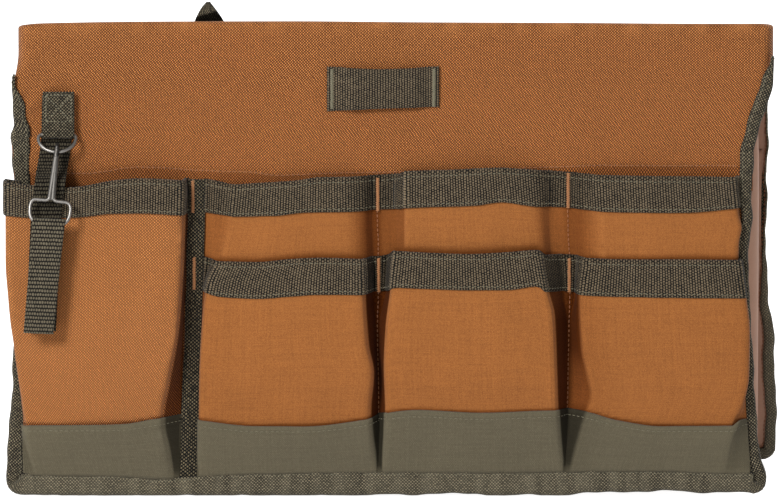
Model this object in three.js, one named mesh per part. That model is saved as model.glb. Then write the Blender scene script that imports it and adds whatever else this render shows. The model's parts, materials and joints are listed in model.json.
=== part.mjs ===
// Tool organiser bag for a 5-gallon bucket, folded flat and standing on its hems.
// A closed fabric ring folds over the bucket's rim. Two pocketed aprons hang from its outside, split from each
// other by a slit at each side for the bucket's handle, and a tube-shaped liner hangs from its inside.
// Millimetres, +Z up, the pocketed front faces -Y, and the origin is on the ground under the middle of the bag.
import * as THREE from "three";

// ---- Driving dimensions ----
const FABRIC = 1.2; // coated polyester, with its seam allowances
const WEBBING = 1.4;
const WEBBING_WIDTH = 20;
const BINDING_WIDTH = 10;
const BINDING_THICKNESS = 3;
const GAP = 0.3; // between pieces that touch
const SEAM = FABRIC + GAP; // from one sewn layer's middle to the next
const RIM_HALF = 244; // half of the flattened ring: its length is the way round a 12 in rim
const RIM_HEIGHT = { front: 310, back: 305 };
const RIM_SPREAD = 11; // from the bag's middle to the outside of the ring
const GROOVE = 6.5; // from the ring's outer wall to its inner wall, over the bucket's wall
const RING_INNER_END = 24; // how far the inner wall comes down
const HEM_SPREAD = 42; // from the bag's middle to each apron's hem
const HINGE_HEIGHT = 283; // where the handle slits end and the aprons start to bend
const HINGE_GAP = 1.2;
const YOKE_SEAM = 217;
const UPPER_MOUTH = 209;
const LOWER_MOUTH = 157;
const UPPER_FLOOR = 108;
const BASE_SEAM = 52;
const UPPER_DEPTH = 13;
const LOWER_DEPTH = 29;
const TALL_DEPTH = 20;
const LINER_DEPTH = 14;
const LINER_HALF = 244;
const LINER_END = 21; // the liner stops above the ground
const INNER_MOUTH = 150;
const INNER_DEPTH = 7.5;
const WIRE = 1.8;
const RING_WIRE = 2.2;

const TILT = Math.atan((HEM_SPREAD - RIM_SPREAD) / RIM_HEIGHT.front);
const lerp = THREE.MathUtils.lerp;
const smooth = THREE.MathUtils.smoothstep;

// ---- Materials ----
const material = (color, roughness, metalness = 0) =>
  new THREE.MeshStandardMaterial({ color, roughness, metalness });
const MATERIALS = {
  canvas: material("#a5673a", 0.85),
  coating: material("#80604f", 0.6),
  base: material("#6b6552", 0.8),
  webbing: material("#4f4e42", 0.9),
  thread: material("#b06f45", 0.8),
  steel: material("#a8a29c", 0.3, 1),
};

const part = (parent, name, geometry, materialName) => {
  const mesh = new THREE.Mesh(geometry, MATERIALS[materialName]);
  mesh.name = name;
  parent.add(mesh);
  return mesh;
};

// ---- Cloth: a grid of middle-surface points, thickened both ways along its normals ----
function normalsOf(rows) {
  const at = (i, j) => rows[THREE.MathUtils.clamp(i, 0, rows.length - 1)][j];
  return rows.map((row, i) =>
    row.map((_, j) => {
      const along = row[Math.min(j + 1, row.length - 1)].clone().sub(row[Math.max(j - 1, 0)]);
      const across = at(i + 1, j).clone().sub(at(i - 1, j));
      return along.cross(across).normalize();
    }),
  );
}

function shifted(rows, distance) {
  const normals = normalsOf(rows);
  return rows.map((row, i) => row.map((p, j) => p.clone().addScaledVector(normals[i][j], distance)));
}

function cloth(rows, thickness) {
  const front = shifted(rows, thickness / 2);
  const back = shifted(rows, -thickness / 2);
  const [m, n] = [rows.length, rows[0].length];
  const vertices = [...front.flat(), ...back.flat()];
  const f = (i, j) => i * n + j;
  const b = (i, j) => m * n + i * n + j;
  const faces = [];
  const quad = (a, c, d, e) => faces.push(a, c, d, a, d, e);
  for (let i = 0; i + 1 < m; i++)
    for (let j = 0; j + 1 < n; j++) {
      quad(f(i, j), f(i, j + 1), f(i + 1, j + 1), f(i + 1, j));
      quad(b(i, j), b(i + 1, j), b(i + 1, j + 1), b(i, j + 1));
    }
  for (let j = 0; j + 1 < n; j++) {
    quad(f(0, j), b(0, j), b(0, j + 1), f(0, j + 1));
    quad(f(m - 1, j), f(m - 1, j + 1), b(m - 1, j + 1), b(m - 1, j));
  }
  for (let i = 0; i + 1 < m; i++) {
    quad(f(i, 0), f(i + 1, 0), b(i + 1, 0), b(i, 0));
    quad(f(i, n - 1), b(i, n - 1), b(i + 1, n - 1), f(i + 1, n - 1));
  }
  return new THREE.BufferGeometry().setFromPoints(vertices).setIndex(faces);
}

// A point of an apron: x along it, out from its cloth, up from its hem.
const onApron = (x, out, up) => new THREE.Vector3(x, -out, up);

const outline = (...points) => {
  const curve = new THREE.SplineCurve(points.map(([up, x]) => new THREE.Vector2(up, x)));
  const samples = curve.getPoints(60);
  return (up) => {
    const next = samples.findIndex((p) => p.x >= up);
    if (next <= 0) return next < 0 ? samples.at(-1).y : samples[0].y;
    const [p, q] = [samples[next - 1], samples[next]];
    return lerp(p.y, q.y, (up - p.x) / (q.x - p.x));
  };
};

const levels = (from, to, count) =>
  Array.from({ length: count + 1 }, (_, i) => lerp(from, to, i / count));

// ---- Flat pieces of an apron ----
function flatPanel(left, right, heights) {
  const rows = heights.map((up) =>
    [0, 0.5, 1].map((s) => onApron(lerp(left(up), right(up), s), 0, up)),
  );
  return cloth(rows, FABRIC);
}

function edgeBinding(edge, side, heights) {
  const rows = heights.map((up) => {
    const inner = edge(up) - side * BINDING_WIDTH;
    return (side > 0 ? [inner, edge(up)] : [edge(up), inner]).map((x) => onApron(x, 0, up));
  });
  return cloth(rows, BINDING_THICKNESS);
}

// The tape round the hem, with round corners, cut level with the ground.
function hemBinding(left, right) {
  const shape = new THREE.Shape();
  const r = BINDING_WIDTH / 2;
  shape.moveTo(left(0) + r, 0);
  shape.lineTo(right(0) - r, 0);
  shape.absarc(right(0) - r, r, r, -Math.PI / 2, 0, false);
  shape.lineTo(right(BINDING_WIDTH), BINDING_WIDTH);
  shape.lineTo(left(BINDING_WIDTH), BINDING_WIDTH);
  shape.lineTo(left(0), r);
  shape.absarc(left(0) + r, r, r, Math.PI, 1.5 * Math.PI, false);
  const tape = new THREE.ExtrudeGeometry(shape, {
    depth: BINDING_THICKNESS,
    bevelEnabled: false,
    curveSegments: 4,
  });
  tape.rotateX(Math.PI / 2).translate(0, BINDING_THICKNESS / 2, 0);
  const at = tape.attributes.position;
  // the underside lies flat on the ground
  for (let i = 0; i < at.count; i++) {
    if (at.getZ(i) < GAP) at.setZ(i, at.getY(i) * Math.tan(TILT));
  }
  return tape;
}

// ---- Pockets: a strip sewn down at every divider, standing out between them ----
// The plan of one pocket, from divider to divider: its gussets run in over `lean`.
function pocketPlan(x0, x1, sewn, depth, lean) {
  const side = [
    [0, 0],
    [0.25, 0],
    [0.5, 0.3],
    [0.85, 0.85],
    [1.3, 1],
  ];
  const out = (share) => sewn + (depth - sewn) * share;
  return [
    ...side.map(([run, share]) => [x0 + run * lean, out(share)]),
    [(x0 + x1) / 2, out(1.04)],
    ...side.toReversed().map(([run, share]) => [x1 - run * lean, out(share)]),
  ];
}

// dividers(up) gives the x of each sewn line; belly(up) says how far out the pockets stand there, from 0 to 1.
function pocketRows(dividers, sewn, depth, belly, lean, heights) {
  return heights.map((up) => {
    const x = dividers(up);
    const reach = sewn + (depth - sewn) * belly(up);
    const plan = x
      .slice(1)
      .flatMap((x1, i) => pocketPlan(x[i], x1, sewn, reach, lean(up)).slice(i ? 1 : 0));
    return plan.map(([px, out]) => onApron(px, out, up));
  });
}

function pocketStrip({ dividers, sewn, depth, belly, lean, heights }) {
  return cloth(pocketRows(dividers, sewn, depth, belly, lean, heights), FABRIC);
}

function pocketTape({ dividers, sewn, depth, belly, lean }, mouth) {
  const heights = levels(mouth - WEBBING_WIDTH, mouth, 2);
  const rows = pocketRows(dividers, sewn, depth, belly, lean, heights);
  return cloth(shifted(rows, FABRIC / 2 + GAP + WEBBING / 2), WEBBING);
}

// A close zigzag of thread across a tape, over a divider whose strip is sewn at `sewn`.
const barTack = (x, sewn, mouth) =>
  new THREE.BoxGeometry(1.4, 0.8, WEBBING_WIDTH - 1).translate(
    x,
    -(sewn + FABRIC / 2 + WEBBING + 2 * GAP + 0.5),
    mouth - WEBBING_WIDTH / 2,
  );

// ---- The ring over the bucket's rim, and the liner inside it: each is two halves that meet at the side folds ----
// One half of a flattened tube, seen from above: round ends, and a straight run between them.
function halfTube(half, spread, sign) {
  const end = levels(0, Math.PI / 2, 4).map((a) => [
    half - spread + spread * Math.cos(a),
    Math.max(spread * Math.sin(a), GAP / 2),
  ]);
  const points = [...end.map(([x, y]) => [-x, y]), ...end.toReversed()];
  return (sign < 0 ? points : points.toReversed()).map(([x, y]) => [x, sign * y]);
}

function ringBand(side) {
  const sign = side === "front" ? -1 : 1;
  const top = RIM_HEIGHT[side] - GROOVE / 2;
  const spreadAt = (up) => lerp(HEM_SPREAD, RIM_SPREAD, up / RIM_HEIGHT.front);
  const over = levels(0, Math.PI, 4).map((a) => [
    (GROOVE / 2) * (1 - Math.cos(a)),
    top + (GROOVE / 2) * Math.sin(a),
  ]);
  const profile = [
    [0, HINGE_HEIGHT + HINGE_GAP],
    ...over,
    [GROOVE, RIM_HEIGHT[side] - RING_INNER_END],
  ];
  const rows = profile.map(([inward, up]) =>
    halfTube(RIM_HALF - inward, spreadAt(Math.min(up, top)) - inward, sign).map(
      ([x, y]) => new THREE.Vector3(x, y, up),
    ),
  );
  return cloth(rows, FABRIC);
}

const linerDepth = (up) => lerp(LINER_DEPTH, RIM_SPREAD - GROOVE, smooth(up, INNER_MOUTH + 5, 275));

function linerHalf(side) {
  const sign = side === "front" ? -1 : 1;
  const top = RIM_HEIGHT[side] - RING_INNER_END - GAP;
  const rows = [LINER_END, 90, INNER_MOUTH + 5, 185, 215, 245, top].map((up) => {
    const half = lerp(LINER_HALF, RIM_HALF - GROOVE, smooth(up, 200, top));
    return halfTube(half, linerDepth(up), sign).map(([x, y]) => new THREE.Vector3(x, y, up));
  });
  return cloth(rows, FABRIC);
}

// The pockets inside the liner, given as an apron's strip that faces inwards.
function innerPockets() {
  const dividers = () => [-180, -60, 60, 180];
  return {
    dividers,
    sewn: SEAM,
    depth: INNER_DEPTH,
    belly: () => 1,
    lean: () => 8,
    heights: levels(LINER_END + 12, INNER_MOUTH, 2),
  };
}

// The webbing loop that stands up through the mouth: it rises, twists to a point and comes back down.
function hammerLoop() {
  const height = RIM_HEIGHT.front + 10;
  const foot = 262;
  const path = levels(0, Math.PI, 8).map((a) => [
    -1.9 * Math.cos(a),
    foot + (height - foot) * Math.sin(a) ** 0.5,
  ]);
  const rows = path.map(([out, up]) => {
    const pinch = smooth(up, RIM_HEIGHT.front - 8, height);
    const half = lerp(11, 3, pinch);
    const middle = -119 - 3 * pinch;
    return [-1, 0, 1].map((s) => new THREE.Vector3(middle + s * half, out, up));
  });
  return cloth(rows, 1);
}

// ---- Hardware ----
// A round wire along a path, closed by its two ends.
function wire(path, diameter, steps) {
  const section = new THREE.Shape().absarc(0, 0, diameter / 2, 0, 2 * Math.PI, false);
  return new THREE.ExtrudeGeometry(section, {
    extrudePath: path,
    steps,
    curveSegments: 4,
    bevelEnabled: false,
  });
}

const RING = { x: -216.2, out: 5.4, up: 238.5, width: 24.4, drop: 13.6, lean: 0.75 };
const HOOK = { tilt: 0.11, length: 47, slotWidth: 26, slotDrop: 14, lean: 0.34, rise: 2.5 };
const HOOK_BEND = RING_WIRE / 2 + WIRE / 2 + 0.5;

// A D-ring hanging from its straight bar, whose ends meet in the middle of the bar.
function dRing() {
  const half = RING.width / 2;
  const corner = 2.5;
  const point = (x, z) => new THREE.Vector3(x, 0, z);
  const arc = levels(0, Math.PI, 10).map((a) =>
    point(half * Math.cos(a), -corner - (RING.drop - corner) * Math.sin(a)),
  );
  const path = new THREE.CatmullRomCurve3(
    [point(GAP, 0), point(half - corner, 0), point(half - 0.8, -0.9), ...arc]
      .concat([point(0.8 - half, -0.9), point(corner - half, 0), point(-GAP, 0)]),
    false,
    "centripetal",
  );
  return wire(path, RING_WIRE, 48);
}

// A hook bent from one wire: from the middle of its bar round the slot, up the stem, over the D-ring, back
// through its tip and the same way down the other side.
function wireHook() {
  const apart = WIRE / 2 + 0.15;
  const half = HOOK.slotWidth / 2;
  const neck = -HOOK.length + HOOK.slotDrop;
  const over = levels(0, Math.PI, 5).map((a) => [
    HOOK_BEND * Math.cos(a),
    HOOK.rise + HOOK_BEND * Math.sin(a),
  ]);
  const side = (s) => [
    [s * GAP, 0, -HOOK.length],
    [s * (half - 4), 0, -HOOK.length],
    [s * (half - 0.6), 0, -HOOK.length + 3],
    [s * half, 0, -HOOK.length + 7],
    [s * (half - 2), 0, neck - 1.5],
    [s * 6.5, 0, neck + 0.5],
    [s * 2.6, 0, neck + 2.5],
    [s * apart, 0, neck + 8],
    [s * apart, 0, -9],
    ...over.map(([out, up]) => [s * apart, HOOK_BEND - out, up]),
    [s * apart, 2 * HOOK_BEND, -4],
  ];
  const tip = [[0, 2 * HOOK_BEND, -5.2]];
  const points = [...side(-1), ...tip, ...side(1).toReversed()].map(
    ([x, y, z]) => new THREE.Vector3(x, y - HOOK_BEND, z),
  );
  return wire(new THREE.CatmullRomCurve3(points, false, "centripetal"), WIRE, 110);
}

// A strap along a path of (out, up) points, as wide as `width` and centred on x.
function strap(path, x, width = WEBBING_WIDTH, thickness = WEBBING) {
  const rows = path.map(([out, up]) =>
    [-width / 2, width / 2].map((dx) => onApron(x(up) + dx, out, up)),
  );
  return cloth(rows, thickness);
}

// ---- The front apron ----
const FRONT = {
  left: outline([0, -250.5], [90, -245], [200, -246], [285, -243.5]),
  right: outline([0, 244], [30, 240], [95, 237], [160, 231.5], [225, 235], [262, 244], [285, 247.5]),
};
const BACK = {
  left: outline([0, -252], [60, -250.5], [140, -245], [173, -243.5], [285, -246]),
  right: outline([0, 236], [150, 240], [240, 240], [285, 246]),
};

function apronShell(group, side, { left, right }) {
  const inner = BINDING_WIDTH + GAP;
  const from = (up) => left(up) + inner;
  const to = (up) => right(up) - inner;
  const backing = levels(inner, YOKE_SEAM - GAP, 6);
  const yoke = levels(YOKE_SEAM, (HINGE_HEIGHT - HINGE_GAP) / Math.cos(TILT), 3);
  part(group, `${side}_backing`, flatPanel(from, to, backing), "canvas");
  part(group, `${side}_yoke`, flatPanel(from, to, yoke), "canvas");
  const heights = [...backing, ...yoke];
  part(group, `${side}_binding_left`, edgeBinding(left, -1, heights), "webbing");
  part(group, `${side}_binding_right`, edgeBinding(right, 1, heights), "webbing");
  part(group, `${side}_binding_hem`, hemBinding(left, right), "webbing");
}

const bellyOf = (floor, mouth, atMouth) => (up) =>
  lerp(0.06, 1, smooth(up, floor, floor + 26)) * lerp(1, atMouth, smooth(up, mouth - 60, mouth));

function pocketRow(group, name, row, floor, seam, mouth) {
  const heights = [...levels(seam ?? floor, mouth - WEBBING_WIDTH, 3), mouth - WEBBING_WIDTH / 2, mouth];
  const strip = { ...row, heights };
  part(group, `${name}_strip`, pocketStrip(strip), "canvas");
  if (seam) {
    const base = { ...row, heights: [0, 0.25, 0.5, 1].map((s) => lerp(floor, seam - GAP, s)) };
    part(group, `${name}_base`, pocketStrip(base), "base");
  }
  part(group, `${name}_tape`, pocketTape(row, mouth), "webbing");
}

// A wide webbing loop across the yoke, sewn down at both ends.
function centerLoop() {
  const loop = { middle: -5.2, up: 266, half: 36, height: 28, stand: 8 };
  const out = (x) => SEAM + loop.stand * smooth(loop.half - Math.abs(x), 3, 15);
  const rows = [-1, 1].map((s) =>
    levels(-loop.half, loop.half, 12).map((x) =>
      onApron(loop.middle + x, out(x), loop.up + (s * loop.height) / 2),
    ),
  );
  return cloth(rows, WEBBING);
}

function frontApron() {
  const group = new THREE.Group();
  apronShell(group, "front", FRONT);
  const floor = BINDING_WIDTH + 2 * GAP;
  const slant = (up) => 6 * (1 - up / UPPER_MOUTH);

  const tall = {
    dividers: (up) => [-251.45 + 8 * smooth(120 - up, 0, 120), -134 - slant(up)],
    sewn: BINDING_THICKNESS / 2 + SEAM,
    depth: TALL_DEPTH,
    belly: bellyOf(floor, UPPER_MOUTH, 0.85),
    lean: () => 12,
  };
  pocketRow(group, "tall_pocket", tall, floor, BASE_SEAM, UPPER_MOUTH);

  const rightEdge = (up) => FRONT.right(up) - BINDING_WIDTH - 1;
  const columns = (up) => [-122 - slant(up), -8.5, 114.8, rightEdge(up)];
  const upper = {
    dividers: columns,
    sewn: SEAM,
    depth: UPPER_DEPTH,
    belly: bellyOf(UPPER_FLOOR, UPPER_MOUTH, 0.95),
    lean: () => 9,
  };
  pocketRow(group, "upper_pocket", upper, UPPER_FLOOR, null, UPPER_MOUTH);
  const lower = {
    dividers: columns,
    sewn: 3.2 * SEAM,
    depth: LOWER_DEPTH,
    belly: bellyOf(floor, LOWER_MOUTH, 0.94),
    lean: (up) => lerp(5, 10, smooth(up, BASE_SEAM, LOWER_MOUTH)),
  };
  pocketRow(group, "lower_pocket", lower, floor, BASE_SEAM, LOWER_MOUTH);

  const dividerPath = [
    [SEAM, floor],
    [SEAM, UPPER_MOUTH],
  ];
  const dividerTape = strap(dividerPath, (up) => -128 - slant(up), 9.5, FABRIC);
  part(group, "divider_tape", dividerTape, "webbing");
  [
    [-128, FABRIC, UPPER_MOUTH],
    [-129.6, FABRIC, LOWER_MOUTH],
    [-8.5, upper.sewn, UPPER_MOUTH],
    [-8.5, lower.sewn, LOWER_MOUTH],
    [114.8, upper.sewn, UPPER_MOUTH],
    [114.8, lower.sewn, LOWER_MOUTH],
  ].forEach(([x, sewn, up], i) => part(group, `bar_tack_${i + 1}`, barTack(x, sewn, up), "thread"));
  part(group, "center_loop", centerLoop(), "webbing");
  return group;
}

// ---- The back apron, with one row of deep pockets ----
function backApron() {
  const group = new THREE.Group();
  apronShell(group, "back", BACK);
  const floor = BINDING_WIDTH + 2 * GAP;
  const shift = (up) => -10 * (1 - up / UPPER_MOUTH);
  const row = {
    dividers: (up) => [
      BACK.left(up) + BINDING_WIDTH + 1,
      ...[-117, -3, 111].map((x) => x + shift(up)),
      BACK.right(up) - BINDING_WIDTH - 1,
    ],
    sewn: SEAM,
    depth: LOWER_DEPTH,
    belly: bellyOf(floor, UPPER_MOUTH, 0.7),
    lean: (up) => lerp(6, 11, smooth(up, BASE_SEAM, UPPER_MOUTH)),
  };
  pocketRow(group, "back_pocket", row, floor, BASE_SEAM, UPPER_MOUTH);
  [-117, -3, 111].forEach((x, i) =>
    part(group, `back_bar_tack_${i + 1}`, barTack(x, SEAM + 3, UPPER_MOUTH), "thread"),
  );
  return group;
}

// ---- The holding strap: a tab with a D-ring, a strap sewn under it, and a hook that closes it into a loop ----
function holdingStrap(group) {
  const strapOut = FABRIC / 2 + GAP + WEBBING / 2;
  const tabOut = strapOut + WEBBING + GAP;
  const round = (r, out, up, from, to) =>
    levels(from, to, 4).map((a) => [out + r * Math.cos(a), up + r * Math.sin(a)]);
  const fold = RING.out - tabOut;
  const tabPath = [
    [tabOut, RING.up + 19],
    [tabOut, RING.up + 5],
    ...round(fold, RING.out, RING.up, -Math.PI, 0),
    [tabOut + WEBBING + GAP, RING.up + 7],
    [tabOut + WEBBING + GAP, RING.up + 25],
  ];
  part(group, "ring_tab", strap(tabPath, () => RING.x), "webbing");

  const onPocket = TALL_DEPTH + 2.6;
  const backPath = [
    [strapOut, 262],
    [strapOut, 234],
    [strapOut + 1, 228],
    [6.5, 220],
    [12, 214],
    [onPocket - 1.2, UPPER_MOUTH + 2.8],
    [onPocket, 200],
    [onPocket, 110],
  ];
  part(group, "strap_back_run", strap(backPath, (up) => RING.x - 0.06 * (262 - up)), "webbing");

  const ring = part(group, "d_ring", dRing(), "steel");
  ring.position.copy(onApron(RING.x, RING.out, RING.up));
  ring.rotation.x = -RING.lean;

  const hook = part(group, "wire_hook", wireHook(), "steel");
  const seat = new THREE.Vector3(0, 0, -RING.drop).applyEuler(ring.rotation).add(ring.position);
  hook.position.copy(seat);
  hook.rotation.set(-HOOK.lean, HOOK.tilt, 0);

  const bar = new THREE.Vector3(0, -HOOK_BEND, -HOOK.length).applyEuler(hook.rotation);
  const r = WIRE / 2 + WEBBING / 2 + 3 * GAP;
  const frontPath = [[-r, -9], ...round(r, 0, 0, Math.PI, 0), [r, -30], [-6, -70]];
  const run = part(group, "strap_front_run", strap(frontPath, () => 0), "webbing");
  run.position.copy(bar).add(seat);
  run.rotation.y = HOOK.tilt;
}

// ---- Assembly ----
function assemble() {
  const bag = new THREE.Group();
  for (const side of ["front", "back"]) {
    part(bag, `rim_band_${side}`, ringBand(side), "canvas");
    part(bag, `liner_${side}`, linerHalf(side), "coating");
    const inside = new THREE.Group();
    part(inside, `inner_pocket_strip_${side}`, pocketStrip(innerPockets()), "canvas");
    inside.position.y = side === "front" ? -LINER_DEPTH : LINER_DEPTH;
    inside.rotation.z = side === "front" ? Math.PI : 0;
    bag.add(inside);
  }
  part(bag, "hammer_loop", hammerLoop(), "webbing");

  const front = frontApron();
  holdingStrap(front);
  front.position.y = -HEM_SPREAD;
  front.rotation.x = -TILT;
  const back = backApron();
  back.position.y = -HEM_SPREAD;
  back.rotation.x = -TILT;
  const turned = new THREE.Group();
  turned.rotation.z = Math.PI;
  turned.add(back);
  bag.add(front, turned);
  return bag;
}

export default assemble();
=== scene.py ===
"""Looks for a bucket tool organiser that stands folded flat: cloth panels, webbing, bindings, thread and wire.

Shapes are worked out in millimetres, in an apron's own frame: x along it, out from its cloth, up from its hem.
place() turns them into the row's frame, still in millimetres, and mesh_object() scales them to metres.
"""

import json
import math

import bpy
import numpy as np
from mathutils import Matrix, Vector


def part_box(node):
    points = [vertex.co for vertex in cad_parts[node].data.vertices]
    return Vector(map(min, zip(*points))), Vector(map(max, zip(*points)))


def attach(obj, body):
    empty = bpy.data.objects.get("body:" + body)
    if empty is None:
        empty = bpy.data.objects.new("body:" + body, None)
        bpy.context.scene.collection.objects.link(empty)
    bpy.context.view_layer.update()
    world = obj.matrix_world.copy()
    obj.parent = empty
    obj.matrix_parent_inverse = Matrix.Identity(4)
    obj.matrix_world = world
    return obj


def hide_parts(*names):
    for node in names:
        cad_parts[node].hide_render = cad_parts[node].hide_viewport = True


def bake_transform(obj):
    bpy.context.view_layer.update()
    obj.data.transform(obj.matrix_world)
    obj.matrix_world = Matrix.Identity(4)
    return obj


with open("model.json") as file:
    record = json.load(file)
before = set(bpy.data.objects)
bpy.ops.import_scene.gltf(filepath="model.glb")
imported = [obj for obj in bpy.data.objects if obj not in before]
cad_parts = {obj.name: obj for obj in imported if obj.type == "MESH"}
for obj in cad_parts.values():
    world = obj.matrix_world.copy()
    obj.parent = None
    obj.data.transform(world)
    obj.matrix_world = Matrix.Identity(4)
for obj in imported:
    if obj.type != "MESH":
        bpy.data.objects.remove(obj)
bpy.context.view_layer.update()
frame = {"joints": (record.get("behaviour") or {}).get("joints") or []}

# ---- Frame ----
MM = 0.001
SIDES = ("front", "back")
JOINTS = {j["name"]: np.array(j["pos_m"]) / MM for j in frame["joints"]}
HINGE, RING_BAR = JOINTS["front_apron_fold"], JOINTS["ring_swing"]
HOOK_SEAT, HOOK_BAR = JOINTS["hook_swing"], JOINTS["strap_swing"]
HEM_LOW, HEM_HIGH = (np.array(c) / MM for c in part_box("front_binding_hem"))
HEM_MIDDLE = (HEM_LOW + HEM_HIGH) / 2
TILT = math.atan((HINGE[1] - HEM_MIDDLE[1]) / (HINGE[2] - HEM_MIDDLE[2]))
FOOT = -HEM_MIDDLE[1] + HEM_MIDDLE[2] * math.tan(TILT)
RIM_TOP = {side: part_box("rim_band_" + side)[1].z / MM for side in SIDES}
RIM_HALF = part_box("rim_band_front")[1].x / MM
LINER_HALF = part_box("liner_front")[1].x / MM
LINER_DEPTH = -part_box("liner_front")[0].y / MM

# ---- Driving sizes, in millimetres ----
CLOTH = 0.7
WEBBING = 1.3
TAPE_HEIGHT = 20.3
YOKE_SEAM = 214
YOKE_END = 201
UPPER_FLOOR = 108
BASE_SEAM = 52
FLOOR = 10
WIRE = 1.1
HOOK_WIRE = 1.15


def smooth(x, a, b):
    t = np.clip((np.asarray(x, float) - a) / (b - a), 0, 1)
    return t * t * (3 - 2 * t)


def lerp(a, b, t):
    return a + (b - a) * t


def curve(*points):
    """A smooth function through (place, value) pairs that doesn't overshoot them."""
    xs, ys = (np.array(c, float) for c in zip(*points))
    step = np.diff(ys) / np.diff(xs)
    inner = np.where(step[:-1] * step[1:] > 0, 2 * step[:-1] * step[1:] / (step[:-1] + step[1:] + 1e-12), 0)
    slope = np.concatenate([[step[0]], inner, [step[-1]]])

    def value(x):
        x = np.clip(np.asarray(x, float), xs[0], xs[-1])
        i = np.clip(np.searchsorted(xs, x, side="right") - 1, 0, len(xs) - 2)
        width = xs[i + 1] - xs[i]
        t = (x - xs[i]) / width
        hermite = (2 * t**3 - 3 * t**2 + 1) * ys[i] + (t**3 - 2 * t**2 + t) * width * slope[i]
        return hermite + (3 * t**2 - 2 * t**3) * ys[i + 1] + (t**3 - t**2) * width * slope[i + 1]

    return value


def ripple(x, y, size, height, seed, waves=7):
    """Soft uneven waves: the cloth is never quite flat."""
    rng = np.random.default_rng(seed)
    total = np.zeros(np.broadcast(x, y).shape)
    for _ in range(waves):
        angle, phase = rng.uniform(0, 2 * math.pi, 2)
        length = size * rng.uniform(0.6, 1.8)
        total += np.sin((x * math.cos(angle) + y * math.sin(angle)) * 2 * math.pi / length + phase)
    return total * height / math.sqrt(waves)


def place(x, out, up, side="front"):
    """Points of an apron in the row's frame, in millimetres."""
    x, out, up = np.broadcast_arrays(x, out, up)
    y = -out * math.cos(TILT) + up * math.sin(TILT) - FOOT
    z = out * math.sin(TILT) + up * math.cos(TILT)
    sign = 1 if side == "front" else -1
    return np.stack([sign * x, sign * y, z], -1)


def unit(v):
    return v / np.maximum(np.linalg.norm(v, axis=-1, keepdims=True), 1e-9)


def facing(side):
    """The way an apron's outer face looks."""
    return unit(place(0, 1, 0, side) - place(0, 0, 0, side))


# ---- Meshes ----

def mesh_object(name, points, faces, materials, material_index=None, uv=None, wear_and_painted_light=None):
    """points in millimetres; uv and the values of wear and painted light and shade are given per point."""
    mesh = bpy.data.meshes.new(name)
    faces = faces.tolist() if isinstance(faces, np.ndarray) else faces
    mesh.from_pydata((np.asarray(points) * MM).tolist(), [], faces)
    for material in materials:
        mesh.materials.append(material)
    if material_index is not None:
        mesh.polygons.foreach_set("material_index", np.asarray(material_index, np.int32))
    if uv is not None:
        layer = mesh.uv_layers.new(name="weave")
        loops = np.zeros(len(mesh.loops), np.int32)
        mesh.loops.foreach_get("vertex_index", loops)
        layer.data.foreach_set("uv", np.asarray(uv, np.float32)[loops].ravel())
    if wear_and_painted_light is not None:
        attribute = mesh.attributes.new("wear_and_painted_light", "FLOAT", "POINT")
        attribute.data.foreach_set("value", np.asarray(wear_and_painted_light, np.float32).ravel())
    mesh.polygons.foreach_set("use_smooth", np.ones(len(mesh.polygons), bool))
    mesh.update()
    obj = bpy.data.objects.new(name, mesh)
    bpy.context.scene.collection.objects.link(obj)
    return obj


def grid_normals(grid):
    return unit(np.cross(np.gradient(grid, axis=1), np.gradient(grid, axis=0)))


def lengths(line):
    """How far along a line each of its points lies."""
    return np.concatenate([[0], np.cumsum(np.linalg.norm(np.diff(line, axis=0), axis=1))])


def grid_uv(grid):
    """How far along the cloth each point is, across and up, in millimetres."""
    middle, column = grid[len(grid) // 2], grid[:, grid.shape[1] // 2]
    return np.stack(np.meshgrid(lengths(middle), lengths(column)), -1)


def cloth(name, grid, thickness, materials, uv=None, wear_and_painted_light=None):
    """A sheet with two faces. Its columns run along it, its rows upwards, and its first material faces out."""
    m, n = grid.shape[:2]
    normals = grid_normals(grid)
    points = np.concatenate([grid + normals * thickness / 2, grid - normals * thickness / 2]).reshape(-1, 3)
    uv = grid_uv(grid) if uv is None else uv
    k = np.arange(m * n).reshape(m, n)
    quads = np.stack([k[:-1, :-1], k[:-1, 1:], k[1:, 1:], k[1:, :-1]], -1).reshape(-1, 4)
    rim = np.concatenate([k[0], k[1:, -1], k[-1, -2::-1], k[-2::-1, 0]])
    sides = np.stack([rim[:-1], rim[:-1] + m * n, rim[1:] + m * n, rim[1:]], -1)
    faces = np.concatenate([quads, quads[:, ::-1] + m * n, sides])
    index = np.concatenate([np.zeros(len(quads)), np.full(len(quads), len(materials) - 1), np.zeros(len(sides))])
    both = lambda a: None if a is None else np.concatenate([a.reshape(m * n, -1)] * 2)
    return mesh_object(name, points, faces, materials, index, both(uv), both(wear_and_painted_light))


def swept(path, radii, sides=16):
    """Points and faces of a closed rod along a path. radii are (across, deep) at each point."""
    tangent = unit(np.gradient(path, axis=0))
    normal = np.zeros_like(path)
    reference = np.array([1.0, 0, 0]) if abs(tangent[0][0]) < 0.8 else np.array([0, 0, 1.0])
    normal[0] = unit(np.cross(tangent[0], reference))
    for i in range(1, len(path)):
        normal[i] = unit(normal[i - 1] - tangent[i] * np.dot(normal[i - 1], tangent[i]))
    across = np.cross(tangent, normal)
    angle = np.linspace(0, 2 * math.pi, sides, endpoint=False)
    ring = (
        path[:, None]
        + across[:, None] * (np.cos(angle)[None, :, None] * radii[:, 0, None, None])
        + normal[:, None] * (np.sin(angle)[None, :, None] * radii[:, 1, None, None])
    )
    k = np.arange(len(path) * sides).reshape(len(path), sides)
    r = np.roll(k, -1, 1)
    faces = np.stack([k[:-1], r[:-1], r[1:], k[1:]], -1).reshape(-1, 4).tolist()
    return ring.reshape(-1, 3), faces + [k[0, ::-1].tolist(), k[-1].tolist()]


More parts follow.
